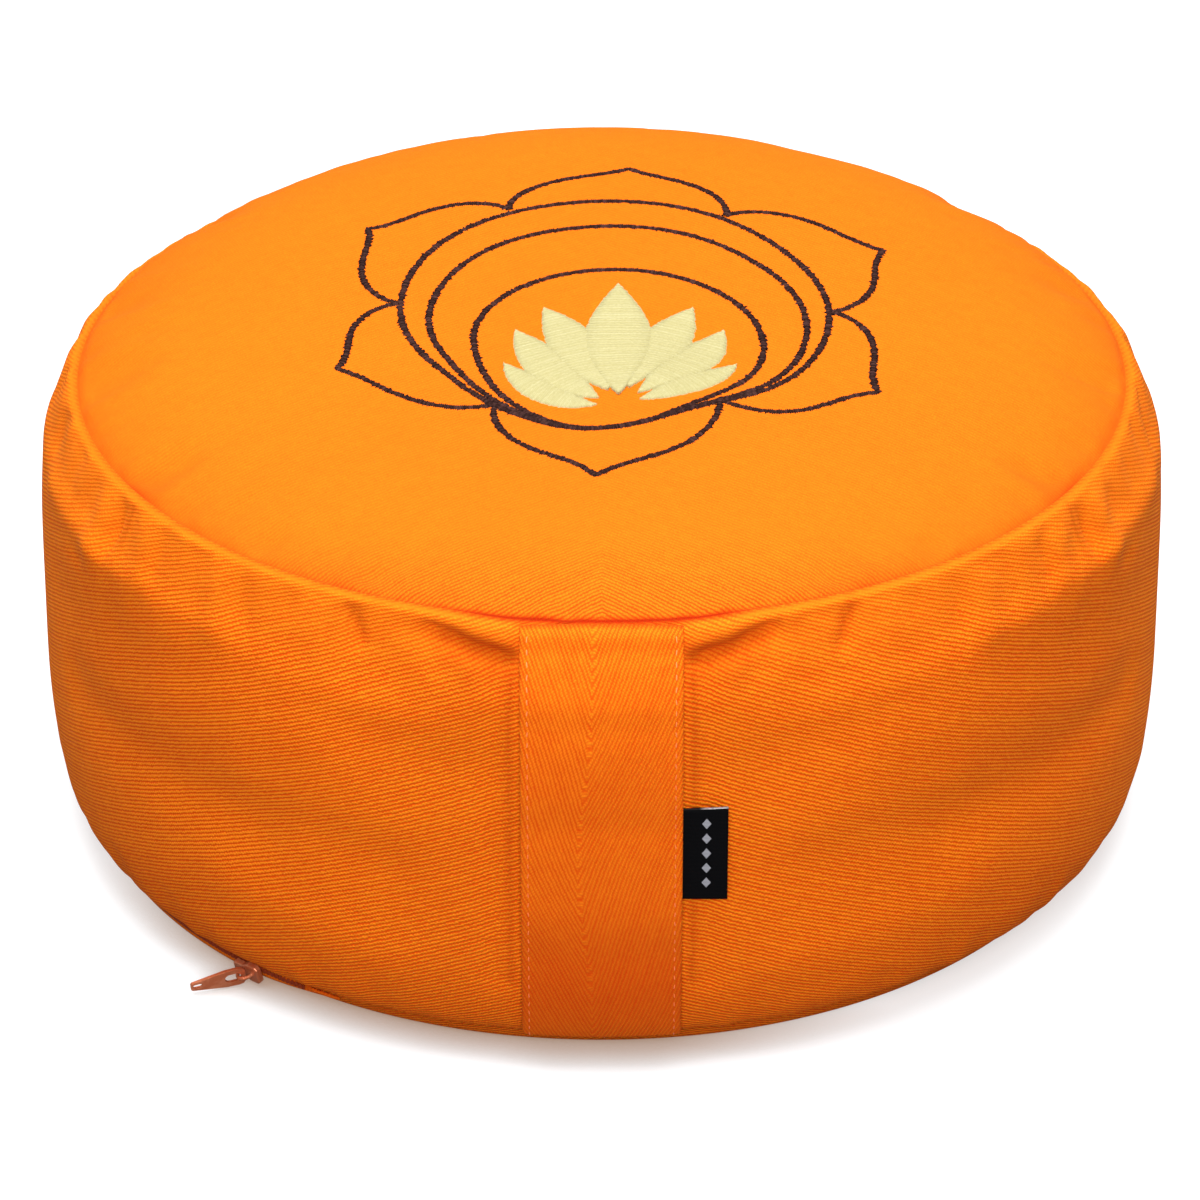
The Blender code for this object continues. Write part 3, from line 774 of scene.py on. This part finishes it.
def wall_rows(azimuth):
    """Radius, height and length along the cloth of the rings from the bottom seam to the top seam."""
    share = eased(WALL_ROWS, WALL_ROW_EASE)
    height = wall_height(share)
    radius = wall_radius(height)
    length = np.append(0, np.cumsum(np.hypot(np.diff(radius), np.diff(height))))
    to_seam = np.minimum(length, length[-1] - length)
    depth = np.where(share < 0.5, FOOT_SEAM_DEPTH, SEAM_DEPTH)
    radius = radius - depth * bell(to_seam, SEAM_REACH)
    radius = radius + SEAM_LIP * smooth(*SEAM_LIP_RISE, to_seam) * fade(*SEAM_LIP_FALL, to_seam)
    radius, height, length, to_seam = (row[:, None] for row in (radius, height, length, to_seam))

    # Neither the strap's bed nor the folds reach the seams, so these stay round.
    above_foot = smooth(FOOT_HEIGHT, FOOT_HEIGHT + 0.01, height)
    bed = strap_bed(height) * (1 - beside_strap(azimuth)) * above_foot
    bed = bed * fade(SEAM_HEIGHT - 0.0008, SEAM_HEIGHT, height)
    free = above_foot * fade(SEAM_HEIGHT - 0.004, SEAM_HEIGHT - 0.0006, height)
    press = wall_press(azimuth, height) * free + bed - puckers(azimuth, to_seam)
    return radius - (press + shoulder_press(azimuth, height)), height, length


def crown_rows(azimuth):
    """Radius and height of the rings from the top seam in to the middle."""
    inward = np.linspace(0, 1, CROWN_ROWS + 1) ** CROWN_ROW_POWER
    radius = SEAM_EDGE * (1 - inward[1:-1, None])
    x = radius * np.sin(np.radians(azimuth))
    y = -radius * np.cos(np.radians(azimuth))
    from_seam = SEAM_EDGE - radius
    rise = crown_rise(x, y) * (1 - bell(from_seam, SEAM_REACH))
    rise = rise - crown_press(azimuth, radius) * smooth(0, 0.006, from_seam) + puckers(azimuth, from_seam)
    return radius, SEAM_HEIGHT + rise


def blown_up(points, faces, held):
    """Where the points come to rest once Blender's cloth has filled the shape."""
    helper = mesh_object("filling_helper", points, faces)
    helper.vertex_groups.new(name="held").add(held, 1, "REPLACE")
    cloth = helper.modifiers.new("filling", "CLOTH")
    for key, value in FILL_CLOTH.items():
        setattr(cloth.settings, key, value)
    cloth.settings.effector_weights.gravity = 0
    cloth.point_cache.frame_start = 1
    cloth.point_cache.frame_end = FILL_FRAMES
    scene = bpy.context.scene
    scene.frame_start = 1
    scene.frame_end = FILL_FRAMES
    for number in range(1, FILL_FRAMES + 1):
        scene.frame_set(number)
    evaluated = helper.evaluated_get(bpy.context.evaluated_depsgraph_get())
    settled = np.empty(3 * len(points), np.float32)
    evaluated.to_mesh().vertices.foreach_get("co", settled)
    evaluated.to_mesh_clear()
    bpy.data.objects.remove(helper)
    scene.frame_set(1)
    return settled.reshape(-1, 3).astype(float)


def spread_out(coarse, kept_rows, rows):
    """A coarse map laid smoothly over the fine grid."""
    reach = FILL_STEP_AROUND
    dots = np.zeros((rows, AROUND))
    for column, values in enumerate(coarse.T):
        dots[:, column * reach] = np.interp(np.arange(rows), kept_rows, values)
    spread = 0 * dots
    for shift in range(-reach, reach + 1):
        spread += (0.5 + 0.5 * math.cos(math.pi * shift / reach)) * np.roll(dots, shift, axis=1)
    for _ in range(2):
        spread = 0.5 * spread + 0.25 * (np.roll(spread, 1, axis=1) + np.roll(spread, -1, axis=1))
        spread[1:-1] = 0.5 * spread[1:-1] + 0.25 * (spread[2:] + spread[:-2])
    return spread


def filled_out(radius, height, azimuth, foot, seam):
    """Radius and height again, with the small folds that the filling pushes into the cloth."""
    rows = len(radius)
    wall = range(foot, seam, FILL_STEP_UP)
    crown = range(seam, rows - 1, FILL_STEP_UP)
    kept = np.array([*FILL_BASE_ROWS, *wall, *crown, rows - 1])
    start = to_xyz(radius, azimuth, height)[kept][:, ::FILL_STEP_AROUND]
    points = [*start.reshape(-1, 3), (0, 0, 0), (0, 0, float(height[-1].mean()))]
    start_radius = np.hypot(start[..., 0], start[..., 1])
    ring = kept[:, None]
    is_held = (ring > seam) & (start_radius < CROWN_HELD_RADIUS)
    is_held = is_held | (ring <= foot) | (ring == seam)
    low = start_radius.size
    held = np.flatnonzero(is_held).tolist() + [low, low + 1]
    faces = grid_faces(*start_radius.shape) + closing_faces(*start_radius.shape)
    moved = blown_up(points, faces, held)[:low].reshape(start.shape) - start

    # The wall moves outward and the top upward; each ring keeps its average, so the form stays.
    outward = (moved[..., 0] * start[..., 0] + moved[..., 1] * start[..., 1]) / start_radius
    push = np.where(ring <= seam, outward, moved[..., 2])
    push = spread_out(push - push.mean(axis=1, keepdims=True), kept, rows)
    row = np.arange(rows)[:, None]
    side = np.abs(azimuth)
    cap = between(FILL_CAP_FRONT, FILL_CAP_BACK, smooth(*FILL_CAP_GROWS, side))
    cap = np.where(row <= seam, cap, FILL_CAP_TOP)
    push = cap * np.tanh(push / cap) * smooth(*FILL_FREE_OF_STRAP, side)
    wall_fade = smooth(FOOT_HEIGHT + 0.001, FOOT_HEIGHT + 0.01, height)
    wall_fade = wall_fade * smooth(0, 0.004, SEAM_HEIGHT - height)
    wall_fade = wall_fade * ((row >= foot) & (row <= seam))
    crown_fade = smooth(CROWN_HELD_RADIUS, CROWN_HELD_RADIUS + 0.015, radius)
    crown_fade = crown_fade * smooth(0, 0.005, SEAM_EDGE - radius) * (row > seam)
    return radius + push * wall_fade, height + push * crown_fade


def rib_strength(points, crown_first):
    """How far the ribs stand out: most at the front, hardly on the top panel, and not in its seam."""
    x, y, z = np.array(points).T
    azimuth = np.degrees(np.arctan2(x, -y))
    at_side, at_top = smooth(38, 75, np.abs(azimuth)), smooth(0.116, 0.13, z)
    strength = (RIB_STRENGTH - RIB_LOSS_AT_SIDE * at_side) * (1 - RIB_LOSS_AT_TOP * at_top)
    strength[crown_first:] = 0.2 + 0.9 * fade(-0.152, -0.112, y[crown_first:])
    to_seam = np.hypot(np.hypot(x, y) - SEAM_RADIUS, z - SEAM_HEIGHT)
    return strength * smooth(0.0003, 0.0015, to_seam)


def cushion_shade(grid, height, azimuth, from_seam, foot, seam):
    """Painted shade: in the seam, most at the strap, in creases, on the sides below the shoulder, at the foot
    and on the top.
    """
    ring = np.arange(len(grid))[:, None]
    side = np.abs(azimuth)
    at_strap = above_strap(grid[..., 0], grid[..., 1], 1.2)
    groove = bell(from_seam, 0.0008 + 0.0005 * at_strap) * (GROOVE_SHADE + GROOVE_SHADE_AT_STRAP * at_strap)
    wall = LIP_SHADE * bell(from_seam, 0.0016) * (1 - at_strap) + crease_shade(azimuth, height)
    wall = wall + FOOT_SHADE * fade(0.01, 0.04, height) + FOOT_FOLD_SHADE * bell(height - 0.007, 0.0024)
    wall = wall + CORNER_SHADE * bell(side - 57, 13) * fade(0.11, 0.119, height)
    sunk = sum(share * bell(side - middle, half_width) for middle, half_width, share in CROWN_SHADES)
    crown = CROWN_SHADE + (CROWN_EDGE_SHADE - 0.09 * at_strap) * np.exp(-from_seam / 0.009)
    crown = crown + sunk * np.exp(-from_seam / 0.006)
    return groove * (ring >= foot) + np.where(ring <= seam, wall, crown)


def make_cushion(cloth):
    azimuth = -180 + 360 * np.arange(AROUND) / AROUND
    *wall, wall_length = wall_rows(azimuth)
    panels = zip(base_rows(), wall, crown_rows(azimuth))
    radius, height = (np.concatenate([rings + np.zeros(AROUND) for rings in panel]) for panel in panels)
    flat_rows = len(BASE_RADII)
    foot = flat_rows + BASE_ROWS - 2
    seam = foot + WALL_ROWS - 1
    radius, height = filled_out(radius, height, azimuth, foot, seam)
    from_seam = np.hypot(radius - SEAM_EDGE, height - SEAM_HEIGHT)
    grid = to_xyz(radius, azimuth, height)
    grid[..., 2] -= seam_dip(grid[..., 0], grid[..., 1], from_seam)

    # The wall's cloth turns under at the foot, so its ribs go on there.
    flat = ribs(np.abs(grid[..., 0]), grid[..., 1], TOP_RIB_ANGLE)
    turned = slice(flat_rows, foot)
    under = np.hypot(radius[turned] - radius[foot], height[turned] - height[foot])
    length = np.concatenate([-under, wall_length + np.zeros(AROUND)])
    upright = 0 * flat
    upright[flat_rows:seam + 1] = ribs(around_wall(azimuth), length, WALL_RIB_ANGLE) * (1, -1)
    flat, upright = (np.append(panel.reshape(-1, 2), np.zeros((2, 2)), axis=0) for panel in (flat, upright))

    # The first and last ring close on a middle point.
    top = (0, 0, float(crown_height(np.array(0), np.array(-1e-9))))
    points = [*grid.reshape(-1, 3), (0, 0, 0), top]
    faces = grid_faces(len(grid), AROUND) + closing_faces(len(grid), AROUND)
    uvs = []
    for face in faces:
        on_wall = flat_rows <= face[0] // AROUND < seam and len(face) == 4
        panel = upright if on_wall else flat
        uvs += [panel[spot] for spot in face]
    obj = mesh_object("filled_cushion", points, faces, uvs, [cloth])
    shade = cushion_shade(grid, height, azimuth, from_seam, foot, seam)
    paint(obj, rib_strength(points, (seam + 1) * AROUND), np.append(shade, (0, 0)))
    return obj


# ------- the carry strap
def over_label(height):
    """1 where the label is tucked under the strap's edge, 0 well above and below it."""
    from_below = smooth(LABEL_BOTTOM - 0.02, LABEL_BOTTOM - 0.003, height)
    return from_below - smooth(LABEL_TOP + 0.003, LABEL_TOP + 0.02, height)


def strap_place(share):
    """(out, up) of the strap's back at its middle line, and the way it faces."""
    height = wall_height(share)
    below, above = wall_height(share - 0.003), wall_height(share + 0.003)
    tangent = np.array([wall_radius(above) - wall_radius(below), above - below])
    tangent /= np.linalg.norm(tangent)
    facing = np.array([tangent[1], -tangent[0]])
    gap = between(STRAP_CLOSE_GAP, STRAP_GAP, over_label(height))
    return np.array([wall_radius(height) - strap_bed(height), height]) + facing * gap, facing


def strap_section():
    """(across, outward) round the strap's section: its face, its back, and a round at both edges."""
    edge = 0.5 * STRAP_THICKNESS
    flat = 0.5 * STRAP_WIDTH - edge
    turn = [math.pi * (0.5 - step / 6) for step in range(1, 6)]
    section = [(x, STRAP_THICKNESS) for x in np.linspace(-flat, flat, STRAP_FACE_POINTS)]
    section += [(flat + edge * math.cos(a), edge + edge * math.sin(a)) for a in turn]
    section += [(x, 0) for x in np.linspace(flat, -flat, STRAP_BACK_POINTS)]
    section += [(-flat - edge * math.cos(a), edge - edge * math.sin(a)) for a in turn]
    return section


def strap_point(share, x, outward):
    """A place on the strap: x across it, and outward from its back."""
    place, facing = strap_place(share)
    curl = between(STRAP_CLOSE_CURL, STRAP_CURL, over_label(place[1]))
    curl = curl * (place[0] - math.sqrt(place[0] ** 2 - x**2))
    # Its face gives a little, but its back stays clear of the wall.
    soft = sum(depth * math.exp(-(((share - at) / width) ** 2)) for at, width, depth in STRAP_WAVES)
    soft = min(soft, STRAP_WAVE_DEEPEST) * (outward / STRAP_THICKNESS)
    sewn = smooth(0.975, 0.996, share) + fade(0.008, 0.02, share)
    spot = place + facing * (outward * (1 - STRAP_PINCH * sewn) - curl - soft)
    dip = float(seam_dip(x, -1, SEAM_HEIGHT - place[1]))
    return Vector((x, -spot[0], spot[1] - dip))


def make_strap(cloth):
    """The strap, and its length along the middle of its face."""
    section = strap_section()
    shares = between(STRAP_FOOT_SHARE, STRAP_END_SHARE, eased(STRAP_ROWS, 0.6))
    points = [strap_point(share, x, outward) for share in shares for x, outward in section]
    middle = points[STRAP_FACE_POINTS // 2::len(section)]
    lengths = [0]
    for last, point in zip(middle, middle[1:]):
        lengths.append(lengths[-1] + (point - last).length)
    bend_middle, bend_width = STRAP_CHEVRON_BEND
    chevron = STRAP_CHEVRON_X - STRAP_CHEVRON_DRIFT * bell(shares - bend_middle, bend_width)
    reach = np.abs(np.array(section)[:, 0] - chevron[:, None])
    weave = ribs(reach, -np.array(lengths)[:, None], STRAP_RIB_ANGLE).reshape(-1, 2)
    obj = closed_band("twill_strap", STRAP_ROWS, points, weave, [cloth])
    along = np.repeat(shares, len(section))
    # Painted shade: broad over the strap's lower part, deepest near its foot, and a dark line at its sewn top
    # end.
    painted_low_shade = 0.19 * fade(0.66, 0.84, along) + 0.36 * bell(along - 0.155, 0.17)
    paint(obj, 0.8 + 0.2 * along, 0.65 * smooth(0.988, STRAP_END_SHARE, along) + painted_low_shade)
    return obj, lengths[-1]


def bead_object(name, beads, radius, squash, material):
    """Rounded beads, one for each (start, end, up); squash is height as a share of width."""
    steps = ((0, 0.35), (0.12, 0.85), (0.35, 1), (0.65, 1), (0.88, 0.85), (1, 0.35))
    around = 6
    size = len(steps) * around
    one = grid_faces(len(steps), around) + [range(around)[::-1], range(size - around, size)]
    points = []
    for start, end, up in beads:
        up = up.normalized()
        side = (end - start).normalized().cross(up).normalized()
        for share, swell in steps:
            for corner in range(around):
                turn = math.tau * corner / around
                off = side * math.cos(turn) + up * (squash * math.sin(turn))
                points.append(start.lerp(end, share) + radius * swell * off)
    faces = [[size * bead + spot for spot in face] for bead in range(len(beads)) for face in one]
    obj = mesh_object(name, points, faces, None, [material])
    recalculate(obj)
    return obj


def make_strap_stitches(thread, length):
    """A line of pale stitches just inside each edge of the strap."""
    stitches = []
    count = int(length / STRAP_STITCH_PITCH)
    half = 0.5 * STRAP_END_SHARE * STRAP_STITCH_LENGTH / length
    on_face = STRAP_THICKNESS + 0.00002
    for side in (-1, 1):
        x = side * (0.5 * STRAP_WIDTH - STRAP_STITCH_INSET)
        for step in range(1, count):
            middle = STRAP_END_SHARE * step / count
            wobble = 0.00012 * math.sin(2.3 * step + side)
            start = strap_point(middle - half, x + wobble, on_face)
            end = strap_point(middle + half, x - wobble, on_face)
            up = strap_point(middle, x, STRAP_THICKNESS + 0.001) - strap_point(middle, x, STRAP_THICKNESS)
            stitches.append((start, end, up))
    return bead_object("strap_stitching", stitches, STRAP_STITCH_RADIUS, STRAP_STITCH_SQUASH, thread)


# ------- the label
def make_label(cloth, fold):
    """A small folded tape, left bare, with its fold edge paler."""
    inner_x = 0.5 * STRAP_WIDTH - LABEL_TUCK
    shares = [column / LABEL_COLUMNS for column in range(LABEL_COLUMNS + 1)]
    ring = [(across, LABEL_THICKNESS) for across in shares] + [(across, 0) for across in shares[::-1]]
    points, weave = [], []
    for row in range(LABEL_ROWS + 1):
        share = row / LABEL_ROWS
        height = between(LABEL_BOTTOM, LABEL_TOP, share)
        for across, outward in ring:
            x = between(inner_x, LABEL_OUTER_X, across)
            lift = 0.0006 * across**2 * (0.4 + 0.6 * math.sin(math.pi * share) ** 2)
            distance = float(wall_radius(height)) + LABEL_GAP + outward + lift
            drop = across * (0.0007 * share - 0.0013)
            points.append((x, -math.sqrt(distance**2 - x**2), height + drop))
            weave.append((across * LABEL_WEAVE_WIDTH, share * (LABEL_TOP - LABEL_BOTTOM)))
    obj = closed_band("bare_label", LABEL_ROWS + 1, points, weave, [cloth, fold])
    obj.data.polygons[-1].material_index = 1
    return obj


# ------- the embroidery
def on_crown(flat, lift):
    """Points of the emblem's plane, laid on the top panel at a height above it."""
    x, y = flat[..., 0], flat[..., 1]
    return np.stack([x, y, crown_height(x, y) + lift], axis=-1)


def emblem_point(radius, angle):
    """A place in the emblem, from its middle, with the stitching's pull taken in."""
    turn = np.degrees(angle)
    pull = 0 * (radius + turn)
    for direction, half_width, share in DRAWN_IN:
        off = (turn - direction + 180) % 360 - 180
        pull = pull + share * bell(off, half_width)
    drawn = radius * (1 - pull * fade(0.064, 0.086, radius) * smooth(0.015, 0.05, radius))
    x, y = EMBLEM_CENTRE
    return np.stack([x + drawn * np.cos(angle), y + drawn * np.sin(angle)], axis=-1)


def petal_line(start, tip, end, shoulder_radius, tip_radius):
    """One petal's outline: rounded shoulders, then an ogee up to the tip."""
    share = np.sin(0.5 * math.pi * np.linspace(-1, 1, LINE_POINTS))
    body = (1 - np.abs(share) ** 2.6) ** 0.7
    radius = between(RINGS[0][0], shoulder_radius, body)
    radius = radius + (tip_radius - shoulder_radius) * np.exp(-np.abs(share) / 0.16)
    turn = tip + np.where(share < 0, (tip - start) * share, (end - tip) * share)
    return radius, np.radians(turn)


def ring_line(radius, centre_x, centre_y):
    """A closed ring, as radius and angle about the emblem's middle."""
    angle = np.linspace(0, math.tau, RING_POINTS) - 0.5 * math.pi
    x = centre_x + radius * np.cos(angle)
    y = centre_y + radius * np.sin(angle)
    return np.hypot(x, y), np.arctan2(y, x)


def even_steps(line, pitch):
    """The same line again, as points an even distance apart."""
    gaps = np.linalg.norm(np.diff(line, axis=0), axis=1)
    along = np.append(0, np.cumsum(gaps))
    spots = np.linspace(0, along[-1], max(3, int(round(along[-1] / pitch))))
    return np.stack([np.interp(spots, along, line[:, axis]) for axis in (0, 1)], axis=1), spots


class Stitching:
    """An embroidered piece as it grows. Two steps along it make a stitch."""

    def __init__(self, seed):
        self.rng = np.random.default_rng(seed)
        self.points, self.faces, self.uvs = [], [], []

    def ends(self, count, amount):
        """A random length for both ends of each stitch, at each of its steps."""
        stitch = np.arange(count) // 2
        return self.rng.normal(0, amount, (stitch[-1] + 1, 2))[stitch].T

    def strip(self, rails, along, across, turned=False):
        """Adds faces between rails of points, which lie along and across in the weave map."""
        first, count = len(self.points), len(along)
        for rail in rails:
            self.points.extend(rail)
        for row in range(len(rails) - 1):
            for step in range(count - 1):
                spots = ((row, step), (row, step + 1), (row + 1, step + 1), (row + 1, step))
                if turned:
                    spots = spots[:1] + spots[:0:-1]
                self.faces.append([first + r * count + s for r, s in spots])
                self.uvs += [(along[s], across[r]) for r, s in spots]

    def stroke(self, line):
        """Adds one line of satin stitch, in stitches of uneven length."""
        flat, along = even_steps(line, 0.5 * STITCH_PITCH)
        tangent = np.gradient(flat, axis=0)
        tangent /= np.linalg.norm(tangent, axis=1)[:, None]
        side = np.stack([-tangent[:, 1], tangent[:, 0]], axis=1)
        odd = np.arange(len(flat)) % 2
        reach = np.where(odd == 0, 1.22, 0.7)
        left, right = self.ends(len(flat), 0.19)
        rails = []
        for share, lift in STROKE_SECTION:
            spread = reach * (1 + (left if share < 0 else right))
            offset = 0.5 * STROKE_WIDTH * share * (spread if abs(share) > 0.5 else 0 * reach + 1)
            rails.append(on_crown(flat + side * offset[:, None], lift + 0.0001 * (1 - odd)))
        self.strip(rails, along, [0.5 * STROKE_WIDTH * share for share, _ in STROKE_SECTION])

    def petal(self, lean, bend, start, length, half_width, widest, lift):
        """Adds one pointed petal of satin stitch that runs across it."""
        count = int(length / (0.5 * STITCH_PITCH))
        share = np.linspace(0, 1, count)
        bulge = np.where(share < widest, share / widest, (1 - share) / (1 - widest))
        half = half_width * np.sin(0.5 * math.pi * bulge) ** 0.9
        heading = np.radians(lean + bend * share)
        ahead = np.stack([np.sin(heading), np.cos(heading)], axis=1)
        axis = np.array(BUD_FOOT) + ahead[0] * start + np.cumsum(ahead, axis=0) * (length / count)
        side = np.stack([ahead[:, 1], -ahead[:, 0]], axis=1)
        left, right = self.ends(count, 0.00013)
        ridge = 0.00007 * (1 - np.arange(count) % 2)
        rails = []
        for place, rise in PETAL_SECTION:
            offset = half * place + np.sign(place) * (left if place < 0 else right) * (half > 0.0004)
            x, y = (axis + side * offset[:, None]).T
            rails.append(on_crown(emblem_point(np.hypot(x, y), np.arctan2(y, x)), rise + lift + ridge))
        self.strip(rails, share * length, [place * half_width for place, _ in PETAL_SECTION], turned=True)

    def finished(self, name, floss):
        return mesh_object(name, self.points, self.faces, self.uvs, [floss])


def make_lotus(floss):
    """The dark outline: six petals round three rings that touch at the front."""
    piece = Stitching(11)
    for radius, angle in [petal_line(*row) for row in PETAL_ROWS] + [ring_line(*row) for row in RINGS]:
        piece.stroke(emblem_point(radius, angle))
    return piece.finished("lotus_embroidery", floss)


def make_bud(floss):
    piece = Stitching(5)
    for row in mirrored(BUD_PAIRS, (0, 1)) + [BUD_MIDDLE]:
        piece.petal(*row)
    return piece.finished("bud_embroidery", floss)


# ------- the zip
def softened_copy(name, node, width, material):
    """A CAD node's own shape again, with its hard edges rounded."""
    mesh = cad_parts[node].data.copy()
    mesh.materials.clear()
    mesh.materials.append(material)
    bm = bmesh.new()
    bm.from_mesh(mesh)
    bmesh.ops.remove_doubles(bm, verts=bm.verts, dist=1e-6)
    bmesh.ops.dissolve_limit(bm, angle_limit=math.radians(3), verts=bm.verts, edges=bm.edges)
    bm.to_mesh(mesh)
    bm.free()
    obj = new_object(name, mesh)
    bevel = obj.modifiers.new("softened edges", "BEVEL")
    bevel.width = width
    bevel.segments = 2
    bevel.limit_method = "ANGLE"
    bevel.angle_limit = math.radians(35)
    return obj


def zip_point(azimuth, outward, across):
    """A place on the zip: outward from the cushion, and across the tape, upwards."""
    radius = ZIP_RADIUS + outward * math.cos(ZIP_TILT) - across * math.sin(ZIP_TILT)
    height = ZIP_HEIGHT + outward * math.sin(ZIP_TILT) + across * math.cos(ZIP_TILT)
    angle = math.radians(azimuth)
    return Vector((radius * math.sin(angle), -radius * math.cos(angle), height))


def make_zip_tape(cloth):
    """The orange tape that carries the coil, ruffled where it ends beside the slider."""
    points, weave = [], []
    length = math.radians(ZIP_END_AZIMUTH - ZIP_START_AZIMUTH) * ZIP_RADIUS
    for step in range(TAPE_STEPS + 1):
        share = step / TAPE_STEPS
        azimuth = between(ZIP_START_AZIMUTH, ZIP_END_AZIMUTH, share)
        taper = 1 - 0.9 * float(smooth(0.62, 1, share))
        ruffle = 0.00035 * math.sin(50 * share) * float(smooth(0.66, 0.8, share))
        across = [ZIP_WIDTH * (row / (TAPE_ROWS - 1) - 0.5) * taper for row in range(TAPE_ROWS)]
        for row, spot in enumerate(across):
            points.append(zip_point(azimuth, TAPE_THICKNESS + ruffle * row / TAPE_ROWS, spot))
        points += [zip_point(azimuth, 0, -spot) for spot in across]
        weave += [(share * length, ZIP_WIDTH * column / TAPE_ROWS) for column in range(2 * TAPE_ROWS)]
    obj = closed_band("zip_tape", TAPE_STEPS + 1, points, weave, [cloth])
    along = np.repeat(np.linspace(0, 1, TAPE_STEPS + 1), 2 * TAPE_ROWS)
    # Painted shade over the tape, deepening towards its end beside the slider.
    paint(obj, 0 * along + 0.5, 0.2 + 0.26 * smooth(0.55, 0.95, along))
    return obj


def make_zip_coil(nylon):
    """Interlocked nylon teeth: short rounded bars across the tape, in two leaning sets."""
    teeth = []
    pitch = math.degrees(COIL_PITCH / ZIP_RADIUS)
    on_tape = TAPE_THICKNESS + 0.0003
    for step in range(1, int((ZIP_END_AZIMUTH - 4 - ZIP_START_AZIMUTH) / pitch)):
        azimuth = ZIP_START_AZIMUTH + step * pitch
        lean = 0.25 * pitch * (1 if step % 2 else -1)
        start = zip_point(azimuth - lean, on_tape, COIL_RISE - 0.5 * COIL_LENGTH)
        end = zip_point(azimuth + lean, on_tape, COIL_RISE + 0.5 * COIL_LENGTH)
        teeth.append((start, end, zip_point(azimuth, 0.001, 0) - zip_point(azimuth, 0, 0)))
    return bead_object("zip_coil", teeth, COIL_RADIUS, 1, nylon)


# ------- the studio
def make_floor():
    """A pale floor that the camera sees as white, with a brown shadow painted close under the cushion, most
    towards the front and left.
    """
    n = Nodes("pale floor")
    seen = n.add("LightPath", "Is Camera Ray", {})
    place = n.position()
    to_front = n.math("MULTIPLY_ADD", n.axis(place, "X"), 0.35, n.axis(place, "Y"))
    reach = n.remap(to_front, -0.14, -0.1, 1, 0.22)
    near = n.add("AmbientOcclusion", "AO", {"Distance": FLOOR_SHADE_REACH}, samples=8)
    shade = n.times(n.remap(near, 0.1, 0.72, 0.95, 0), reach)
    base = n.mix(shade, (0.42, 0.44, 0.45), (0.1, 0.07, 0.05))
    n.set(Base_Color=n.mix(seen, (0.3, 0.3, 0.3), base), Roughness=0.9, Specular_IOR_Level=0)
    n.set(Emission_Color=n.mix(shade, WHITE, FLOOR_SHADE), Emission_Strength=n.times(seen, 0.66))
    bpy.ops.mesh.primitive_plane_add(size=12, location=(0, 0, -0.0002))
    floor = bpy.context.object
    floor.name = "floor"
    floor.data.materials.append(n.material)


def area_light(name, place, aim, size, power):
    data = bpy.data.lights.new(name, "AREA")
    data.shape = "RECTANGLE"
    data.size, data.size_y = size
    data.energy = power
    light = new_object(name, data)
    light.location = place
    light.rotation_euler = (Vector(aim) - Vector(place)).to_track_quat("-Z", "Y").to_euler()


def make_studio():
    make_floor()
    area_light("overhead softbox", (0, 0.15, 1.9), (0, 0, 0.1), (1.6, 1.6), 56)
    area_light("front fill", (0, -2.3, 1.5), (0, 0, 0.08), (1.4, 1), 52)
    world = bpy.data.worlds.new("studio")
    world.use_nodes = True
    background = world.node_tree.nodes["Background"].inputs
    background["Color"].default_value = (*WHITE, 1)
    background["Strength"].default_value = 0.28
    scene = bpy.context.scene
    scene.world = world
    scene.view_settings.view_transform = "Standard"
    scene.view_settings.look = "None"


def make_camera():
    data = bpy.data.cameras.new("camera")
    data.lens = CAMERA_LENS
    data.sensor_width = CAMERA_SENSOR
    camera = new_object("camera", data)
    camera.location = CAMERA_PLACE
    camera.rotation_euler = (0.5 * math.pi - CAMERA_DOWN, 0, 0)
    bpy.context.scene.camera = camera


def fit_in(piece, slot_name, *nodes):
    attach(piece, "root")
    if nodes:
        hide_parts(*nodes)


def main():
    cloth = twill_material(
        "orange twill", *CLOTH_COLOURS, RIB_PITCH, relief=0.00024, yarn_pitch=0.001, broken=0.46
    )
    strap_cloth = twill_material(
        "orange strap twill", *STRAP_COLOURS, STRAP_RIB_PITCH, relief=0.0002, yarn_pitch=0.0008, broken=0.64
    )
    dark_floss = satin_material("plum floss", *PLUM, sheen=0, streaks=0.7)
    pale_floss = satin_material("pale yellow floss", *PALE_YELLOW, sheen=0.03, streaks=0.25)
    pale_thread = thread_material("pale thread", *PALE_THREAD)
    lacquer = lacquer_material()

    cushion = make_cushion(cloth)
    fit_in(cushion, "cushion_cloth", "cushion")
    strap, strap_length = make_strap(strap_cloth)
    fit_in(strap, "strap_cloth", "carry_strap")
    stitches = make_strap_stitches(pale_thread, strap_length)
    fit_in(stitches, "strap_cloth")
    label = make_label(label_material(), fold_material())
    fit_in(label, "label_cloth", "side_label")
    fit_in(make_lotus(dark_floss), "cushion_cloth")
    fit_in(make_bud(pale_floss), "cushion_cloth")
    fit_in(softened_copy("lacquered_slider", "zip_slider", 0.00018, lacquer), "zip_metal", "zip_slider")
    fit_in(softened_copy("lacquered_pull", "zip_pull", 0.00016, lacquer), "zip_metal", "zip_pull")
    fit_in(make_zip_tape(strap_cloth), "zip_teeth", "zip_chain")
    fit_in(make_zip_coil(nylon_material()), "zip_teeth", "zip_chain")

    make_studio()
    make_camera()


main()
